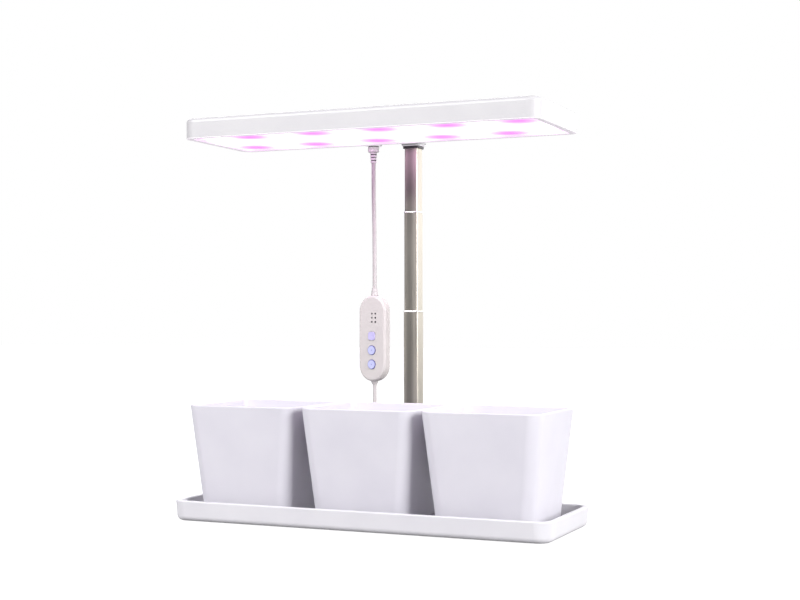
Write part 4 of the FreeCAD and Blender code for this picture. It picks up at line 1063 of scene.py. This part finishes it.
@dataclass(frozen=True)
class CordGland:
    """The ribbed gland that lets the cord out of the lamp, sizes in millimetres."""

    wardrobe: Wardrobe
    place: Point = (-38.2, 71.5, 371.3)
    tip_radius: float = 3.2
    neck_radius: float = 3.9
    neck_height: float = 11.4
    cap_radius: float = 5.95
    cap_height: float = 6.3
    stem_radius: float = 3.8
    stem_height: float = 6.0
    groove_up: float = 1.9
    groove_pitch: float = 3.1
    groove_width: float = 1.1
    groove_foot: tuple[Point, ...] = ((0.0, -0.3, 0.0), (0.06, -0.1, 0.1), (0.2, 0.0, 0.6),
                                      (0.6, 0.12, 1.0))
    groove_head: tuple[Point, ...] = ((0.6, -0.12, 1.0), (0.2, 0.0, 0.6), (0.02, 0.1, 0.1),
                                      (-0.04, 0.3, 0.0))
    shoulder: tuple[Point, ...] = ((0.0, -0.4, 0.1), (-0.15, -0.1, 0.5), (-0.5, 0.0, 0.4))
    cap_foot: tuple[Point, ...] = ((0.7, 0.0, 0.0), (0.25, 0.12, 0.0), (0.05, 0.4, 0.0), (0.0, 0.8, 0.0),
                                   (0.0, 1.1, 0.0), (0.0, 1.4, 0.0))
    cap_head: tuple[Point, ...] = ((0.0, -1.9, 0.0), (0.0, -1.6, 0.0), (0.0, -1.3, 0.0),
                                   (0.08, -1.1, 0.2), (0.35, -1.0, 1.0), (0.35, -0.1, 1.0),
                                   (0.35, 0.0, 0.4))
    flutes: int = 18
    flute_depth: float = 0.045
    flute_foot: float = 1.2
    flute_head: float = 1.7

    @staticmethod
    def moved(rows: tuple[Point, ...], radius: float, height: float) -> list[Point]:
        """Sets an outline's rows in by their first numbers from a radius, and up from a height."""
        return [(radius - inward, height + up, painted_shade) for inward, up, painted_shade in rows]

    def neck(self) -> list[tuple[float, float, float]]:
        """Works out the neck's outline, with rounded ribs between its grooves, which are painted dark as
        shade.

        The neck widens evenly from its tip, and each groove's two sides are the rows of its table, told
        from the neck's radius there and the groove's edge.

        Returns:
            Radius, height and painted shade, from the tip up.
        """
        widening = (self.neck_radius - self.tip_radius) / self.neck_height
        outline = [(0.0, 0.0, 0.0), (self.tip_radius - 0.25, 0.0, 0.0), (self.tip_radius, 0.3, 0.0)]
        for ring in range(3):
            low = self.groove_up + self.groove_pitch * ring
            outer = self.tip_radius + widening * low
            outline += self.moved(self.groove_foot, outer, low)
            outline += self.moved(self.groove_head, outer, low + self.groove_width)
        return outline

    def cap(self) -> list[tuple[float, float, float]]:
        """Works out the outline of the cap, its top stepped in and painted dark as the shadow under the lamp,
        and the stem.

        Returns:
            Radius, height and painted shade, from the neck up.
        """
        low, high = self.neck_height, self.neck_height + self.cap_height
        stem = [(self.stem_radius, high, 0.0), (self.stem_radius, high + self.stem_height, 0.0),
                (0.0, high + self.stem_height, 0.0)]
        return (self.moved(self.shoulder, self.neck_radius, low)
                + self.moved(self.cap_foot, self.cap_radius, low)
                + self.moved(self.cap_head, self.cap_radius, high) + stem)

    def make(self) -> None:
        """Makes the gland, its cap fluted for the fingers."""
        seat = Seat(tuple(np.multiply(self.place, MM)), (0.0, 0.0, 1.0), (0.0, 1.0, 0.0))
        high = self.neck_height + self.cap_height
        gland = turned_piece("cord_gland_ribbed", self.neck() + self.cap(), seat, 8 * self.flutes,
                             (self.flutes, self.flute_depth, self.neck_height + self.flute_foot,
                              high - self.flute_head))
        self.wardrobe.dress(gland, "gland_plastic")
        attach(gland, Body.LAMP.value)
        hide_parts("cord_gland")


@dataclass(frozen=True)
class HandController:
    """The caps and screws of the controller on the cord, sizes in millimetres."""

    wardrobe: Wardrobe
    middle: Point = (-37.0, 71.5, 184.8)
    turn: float = 11.0
    flange_under: float = 2.9
    flange_over: float = 3.7
    flange_grow: float = 1.1
    cap_top: float = 6.3
    dish: float = 0.2
    edge_round: float = 0.4
    caps: tuple[tuple[Body, float, float, float], ...] = (
        (Body.POWER, 2.4, 4.3, 4.6),
        (Body.BRIGHTNESS, -12.6, 4.95, 2.0),
        (Body.TIMER, -27.6, 4.95, 2.0),
    )
    screw_heights: tuple[float, float] = (35.0, -37.5)
    screw_behind: float = 5.4
    screw_head: float = 1.95
    screw_head_height: float = 1.4
    screw_shank: float = 0.95
    screw_length: float = 8.0

    def seat(self, height: float, behind: float, way: float) -> Seat:
        """Places a seat in the controller's own directions.

        Args:
            height: How far above the controller's middle.
            behind: How far behind it.
            way: -1 to face the front and 1 to face the back.

        Returns:
            The seat, in metres.
        """
        turn = math.radians(self.turn)
        back = np.array([math.sin(turn), math.cos(turn), 0.0])
        point = (np.array(self.middle) + behind * back + np.array([0.0, 0.0, height])) * MM
        return Seat(tuple(point), tuple(way * back))

    def cap_profile(self, radius: float) -> list[tuple[float, float, float]]:
        """Works out a button's outline: a flange, straight sides, a round edge and a dished face.

        The dish sinks with the square of how near the axis a point is.

        Args:
            radius: Half the button's width.

        Returns:
            Radius, height in front of the controller's middle, and painted shade.
        """
        flange = radius + self.flange_grow
        foot = [(0.0, self.flange_under, 0.0), (flange, self.flange_under, 0.0),
                (flange, self.flange_over, 0.0), (radius, self.flange_over, 0.0)]
        turn = np.linspace(0, np.pi / 2, 6)
        inner, under = radius - self.edge_round, self.cap_top - self.edge_round
        edge = [(inner + self.edge_round * math.cos(angle), under + self.edge_round * math.sin(angle), 0.0)
                for angle in turn]
        face = [(inner * share, self.cap_top - self.dish * (1 - share * share), 0.0)
                for share in np.linspace(0.9, 0.0, 10)]
        return foot + edge + face

    def make(self) -> None:
        """Makes the three button caps and the two screws."""
        for body, height, radius, squareness in self.caps:
            node = f"{body.value}_button"
            cap = turned_piece(f"{body.value}_cap", self.cap_profile(radius), self.seat(height, 0.0, -1.0),
                               64, squareness=squareness)
            self.wardrobe.dress(cap, "button_plastic", self.wardrobe.caps.get(body.value))
            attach(cap, body.value)
            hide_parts(node)
        for step, height in enumerate(self.screw_heights):
            screw = CrossScrew(f"controller_screw_{step}", self.seat(height, self.screw_behind, 1.0),
                               self.screw_head, self.screw_head_height, self.screw_shank,
                               self.screw_length).make()
            self.wardrobe.dress(screw, "screw_steel")
            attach(screw, Body.LAMP.value)
            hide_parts("controller_screws")


@dataclass(frozen=True)
class PlugShell:
    """The plug's pressed metal shell with its four latch windows, sizes in millimetres."""

    wardrobe: Wardrobe
    left: float = -119.3
    right: float = -107.3
    front: float = 81.5
    back: float = 100.0
    low: float = 1.95
    high: float = 6.45
    corner: float = 0.6
    wall: float = 0.3
    window_near: float = 1.8
    window_far: float = 4.3
    window_from: float = 6.0
    window_to: float = 8.6
    mouth_length: float = 0.25
    mouth_draw: float = 0.12
    middle_row: float = 12.0

    def outline(self) -> np.ndarray:
        """Works out the shell's section, round corners joined by runs that break at the windows.

        Returns:
            Points across and up, in millimetres, in a loop.
        """
        turn = np.linspace(0, np.pi / 2, 5)
        half_wide = (self.right - self.left) / 2
        half_high = (self.high - self.low) / 2
        breaks = np.array([self.window_far, self.window_near, -self.window_near, -self.window_far])
        parts = []
        for quarter, (side, up) in enumerate(((1, 1), (-1, 1), (-1, -1), (1, -1))):
            angle = turn + quarter * np.pi / 2
            parts.append(np.column_stack([side * (half_wide - self.corner) + self.corner * np.cos(angle),
                                          up * (half_high - self.corner) + self.corner * np.sin(angle)]))
            if quarter % 2 == 0:
                parts.append(np.column_stack([side * breaks, np.full(4, up * half_high)]))
        middle = [(self.left + self.right) / 2, (self.low + self.high) / 2]
        return np.vstack(parts) + middle

    def make(self) -> bpy.types.Object:
        """Makes the shell as a grid round its section and along it, with the windows' cells left out.

        A point is the section's point at its row's place along the plug, drawn in at the mouth.

        Returns:
            The shell, with its wall's thickness.
        """
        section = self.outline()
        along = self.front + np.array([0.0, self.mouth_length, self.window_from, self.window_to,
                                       self.middle_row, self.back - self.front])
        draw_in = np.zeros(len(along))
        draw_in[0] = self.mouth_draw
        middle = section.mean(axis=0)
        flat = section[None] + draw_in[:, None, None] * np.sign(middle - section)
        points = np.stack([flat[..., 0], np.broadcast_to(along[:, None], flat.shape[:2]), flat[..., 1]],
                          axis=-1)
        faces = ring_faces(len(along), len(section), False)
        middles = points.reshape(-1, 3)[np.array(faces)].mean(axis=1)
        off_middle = np.abs(middles[:, 0] - middle[0])
        in_window = ((off_middle > self.window_near) & (off_middle < self.window_far)
                     & (middles[:, 1] > along[2]) & (middles[:, 1] < along[3]))
        kept = [face for face, open_cell in zip(faces, in_window) if not open_cell]
        shell = new_piece("plug_shell_pressed", points.reshape(-1, 3) * MM, kept)
        thick = shell.modifiers.new("wall", "SOLIDIFY")
        thick.thickness = self.wall * MM
        thick.offset = -1.0
        walled = bpy.data.meshes.new_from_object(shell.evaluated_get(bpy.context.evaluated_depsgraph_get()))
        shell.modifiers.clear()
        shell.data = walled
        walled.set_sharp_from_angle(angle=math.radians(SMOOTH_TO))
        self.wardrobe.dress(shell, "plug_metal")
        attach(shell, Body.BASE.value)
        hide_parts("plug_shell")
        return shell


@dataclass(frozen=True)
class LampCord:
    """The cord from the lamp to its controller, and on down to the plug behind the tray."""

    wardrobe: Wardrobe
    diameter: float = 0.0044
    sides: int = 16
    steps_per_point: int = 5
    upper_length: float = 0.133
    hanging_length: float = 0.0603
    lying_length: float = 0.948
    upper: list[Point] = field(default_factory=lambda: [
        (-38.2, 71.5, 371.3), (-38.2, 71.5, 338.0), (-37.3, 71.5, 304.0), (-37.0, 71.5, 271.0),
        (-37.0, 71.5, 238.3)])
    hanging: list[Point] = field(default_factory=lambda: [
        (-37.0, 71.5, 136.3), (-37.0, 71.5, 76.0)])
    standing: list[Point] = field(default_factory=lambda: [
        (-37.0, 71.5, 76.0), (-37.0, 71.5, 58.0), (-37.1, 72.8, 38.5), (-37.6, 77.5, 20.0),
        (-38.4, 90.6, 6.8), (-39.0, 105.6, 2.2), (-39.0, 117.6, 2.2)])
    tail: list[Point] = field(default_factory=lambda: [
        (-43.9, 126.4, 8.4), (-43.9, 146.4, 8.4), (-51.4, 167.1, 2.2), (-69.9, 179.1, 2.2),
        (-91.8, 177.6, 2.2), (-108.4, 163.2, 2.2), (-113.3, 141.8, 4.2), (-113.3, 129.0, 4.2)])
    coil_left: float = -70.0
    coil_back: float = 122.0
    coil_radius: float = 31.0
    coil_step: float = 2.45
    coil_half_turns: int = 5
    coil_rise: float = 6.2
    coil_draw: float = 7.8
    half_turn_points: int = 12
    rest_height: float = 2.2
    blend_foot: float = 0.0115

    def coil_crossings(self) -> tuple[np.ndarray, np.ndarray]:
        """Works out where the coil crosses the line through its middle, in millimetres.

        The lower layer winds in by one step each half turn, the next half turn climbs and is drawn in, and
        the upper layer winds out over the lower one's crossings.

        Returns:
            The crossings' places along X from the middle, and their heights.
        """
        inward = self.coil_radius - self.coil_step * np.arange(self.coil_half_turns + 1)
        reach = np.concatenate([inward, [inward[-1] - self.coil_draw], inward[:1:-1]])
        steps = np.arange(len(reach))
        heights = self.rest_height + self.coil_rise * (steps > self.coil_half_turns)
        return reach * np.where(steps % 2 == 0, 1.0, -1.0), heights

    def coil_points(self) -> np.ndarray:
        """Works out the coil's control points, in millimetres.

        Each half turn is a half circle from one crossing to the next, and its control points stand out by
        the cosine of half a step, so that the spline lies on the circle.

        Returns:
            An array of shape (points, 3).
        """
        places, heights = self.coil_crossings()
        share = np.arange(self.half_turn_points) / self.half_turn_points
        middle = (places[:-1] + places[1:])[:, None] / 2
        radius = np.abs(places[:-1] - places[1:])[:, None] / 2
        turned = np.pi * (np.arange(len(middle))[:, None] + share)
        stand_out = np.where(share > 0, 1 / math.cos(math.pi / self.half_turn_points / 2), 1.0)
        ease = share * share * (3 - 2 * share)
        rise = heights[:-1, None] + (heights[1:] - heights[:-1])[:, None] * ease
        across = self.coil_left + middle + radius * stand_out * np.cos(turned)
        back = self.coil_back + radius * stand_out * np.sin(turned)
        turns = np.stack([across, back, rise], axis=-1).reshape(-1, 3)
        last = [self.coil_left + places[-1], self.coil_back, heights[-1]]
        return np.vstack([turns, last])

    def spline_points(self, name: str, control: np.ndarray) -> np.ndarray:
        """Reads the smooth line that a NURBS spline makes of its control points.

        Args:
            name: The spline's name.
            control: The control points, in metres.

        Returns:
            The points along the line, in metres.
        """
        curve = bpy.data.curves.new(name + "_route", "CURVE")
        curve.dimensions = "3D"
        curve.resolution_u = self.steps_per_point
        spline = curve.splines.new("NURBS")
        spline.points.add(len(control) - 1)
        spline.points.foreach_set("co", np.column_stack([control, np.ones(len(control))]).ravel())
        spline.order_u = 3
        spline.use_endpoint_u = True
        holder = bpy.data.objects.new(name + "_route", curve)
        line = bpy.data.meshes.new_from_object(holder)
        places = np.empty(len(line.vertices) * 3)
        line.vertices.foreach_get("co", places)
        bpy.data.objects.remove(holder)
        bpy.data.curves.remove(curve)
        bpy.data.meshes.remove(line)
        return places.reshape(-1, 3)

    def make_tube(self, name: str, control: np.ndarray) -> tuple[bpy.types.Object, np.ndarray]:
        """Carries the cord's round section along a route.

        Args:
            name: The piece's name.
            control: The route's control points, in metres.

        Returns:
            The tube and the line that it follows.
        """
        line = self.spline_points(name, control)
        tube = swept_tube(name, line, self.diameter / 2, self.sides)
        self.wardrobe.dress(tube, "cord_jacket")
        return tube, line

    def make(self, plug: list[bpy.types.Object]) -> None:
        """Args:
            plug: The pieces of the plug at its end. Not used.
        """
        upper, line = self.make_tube("cord_upper", to_metres(self.upper))
        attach(upper, Body.LAMP.value)
        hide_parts("upper_cord")
        hanging, line = self.make_tube("cord_hanging", to_metres(self.hanging))
        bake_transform(hanging)
        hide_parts("hanging_cord")
        route = np.vstack([to_metres(self.standing), self.coil_points() * MM, to_metres(self.tail)])
        lying, line = self.make_tube("cord_lying", route)
        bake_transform(lying)
        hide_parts("standing_cord", "cord_coil", "cord_tail")


def main() -> None:
    """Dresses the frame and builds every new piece."""
    logging.basicConfig(level=logging.INFO, format="%(message)s")
    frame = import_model()
    PhotoCamera().make()
    Studio().make()
    wardrobe = Wardrobe(frame)
    wardrobe.dress_nodes()
    shell = PlugShell(wardrobe).make()
    LampCord(wardrobe).make([frame["nodes"]["plug_body"], shell, frame["nodes"]["plug_tongue"]])
    Pole(wardrobe).make()
    CordGland(wardrobe).make()
    HandController(wardrobe).make()


if __name__ == "__main__":
    main()
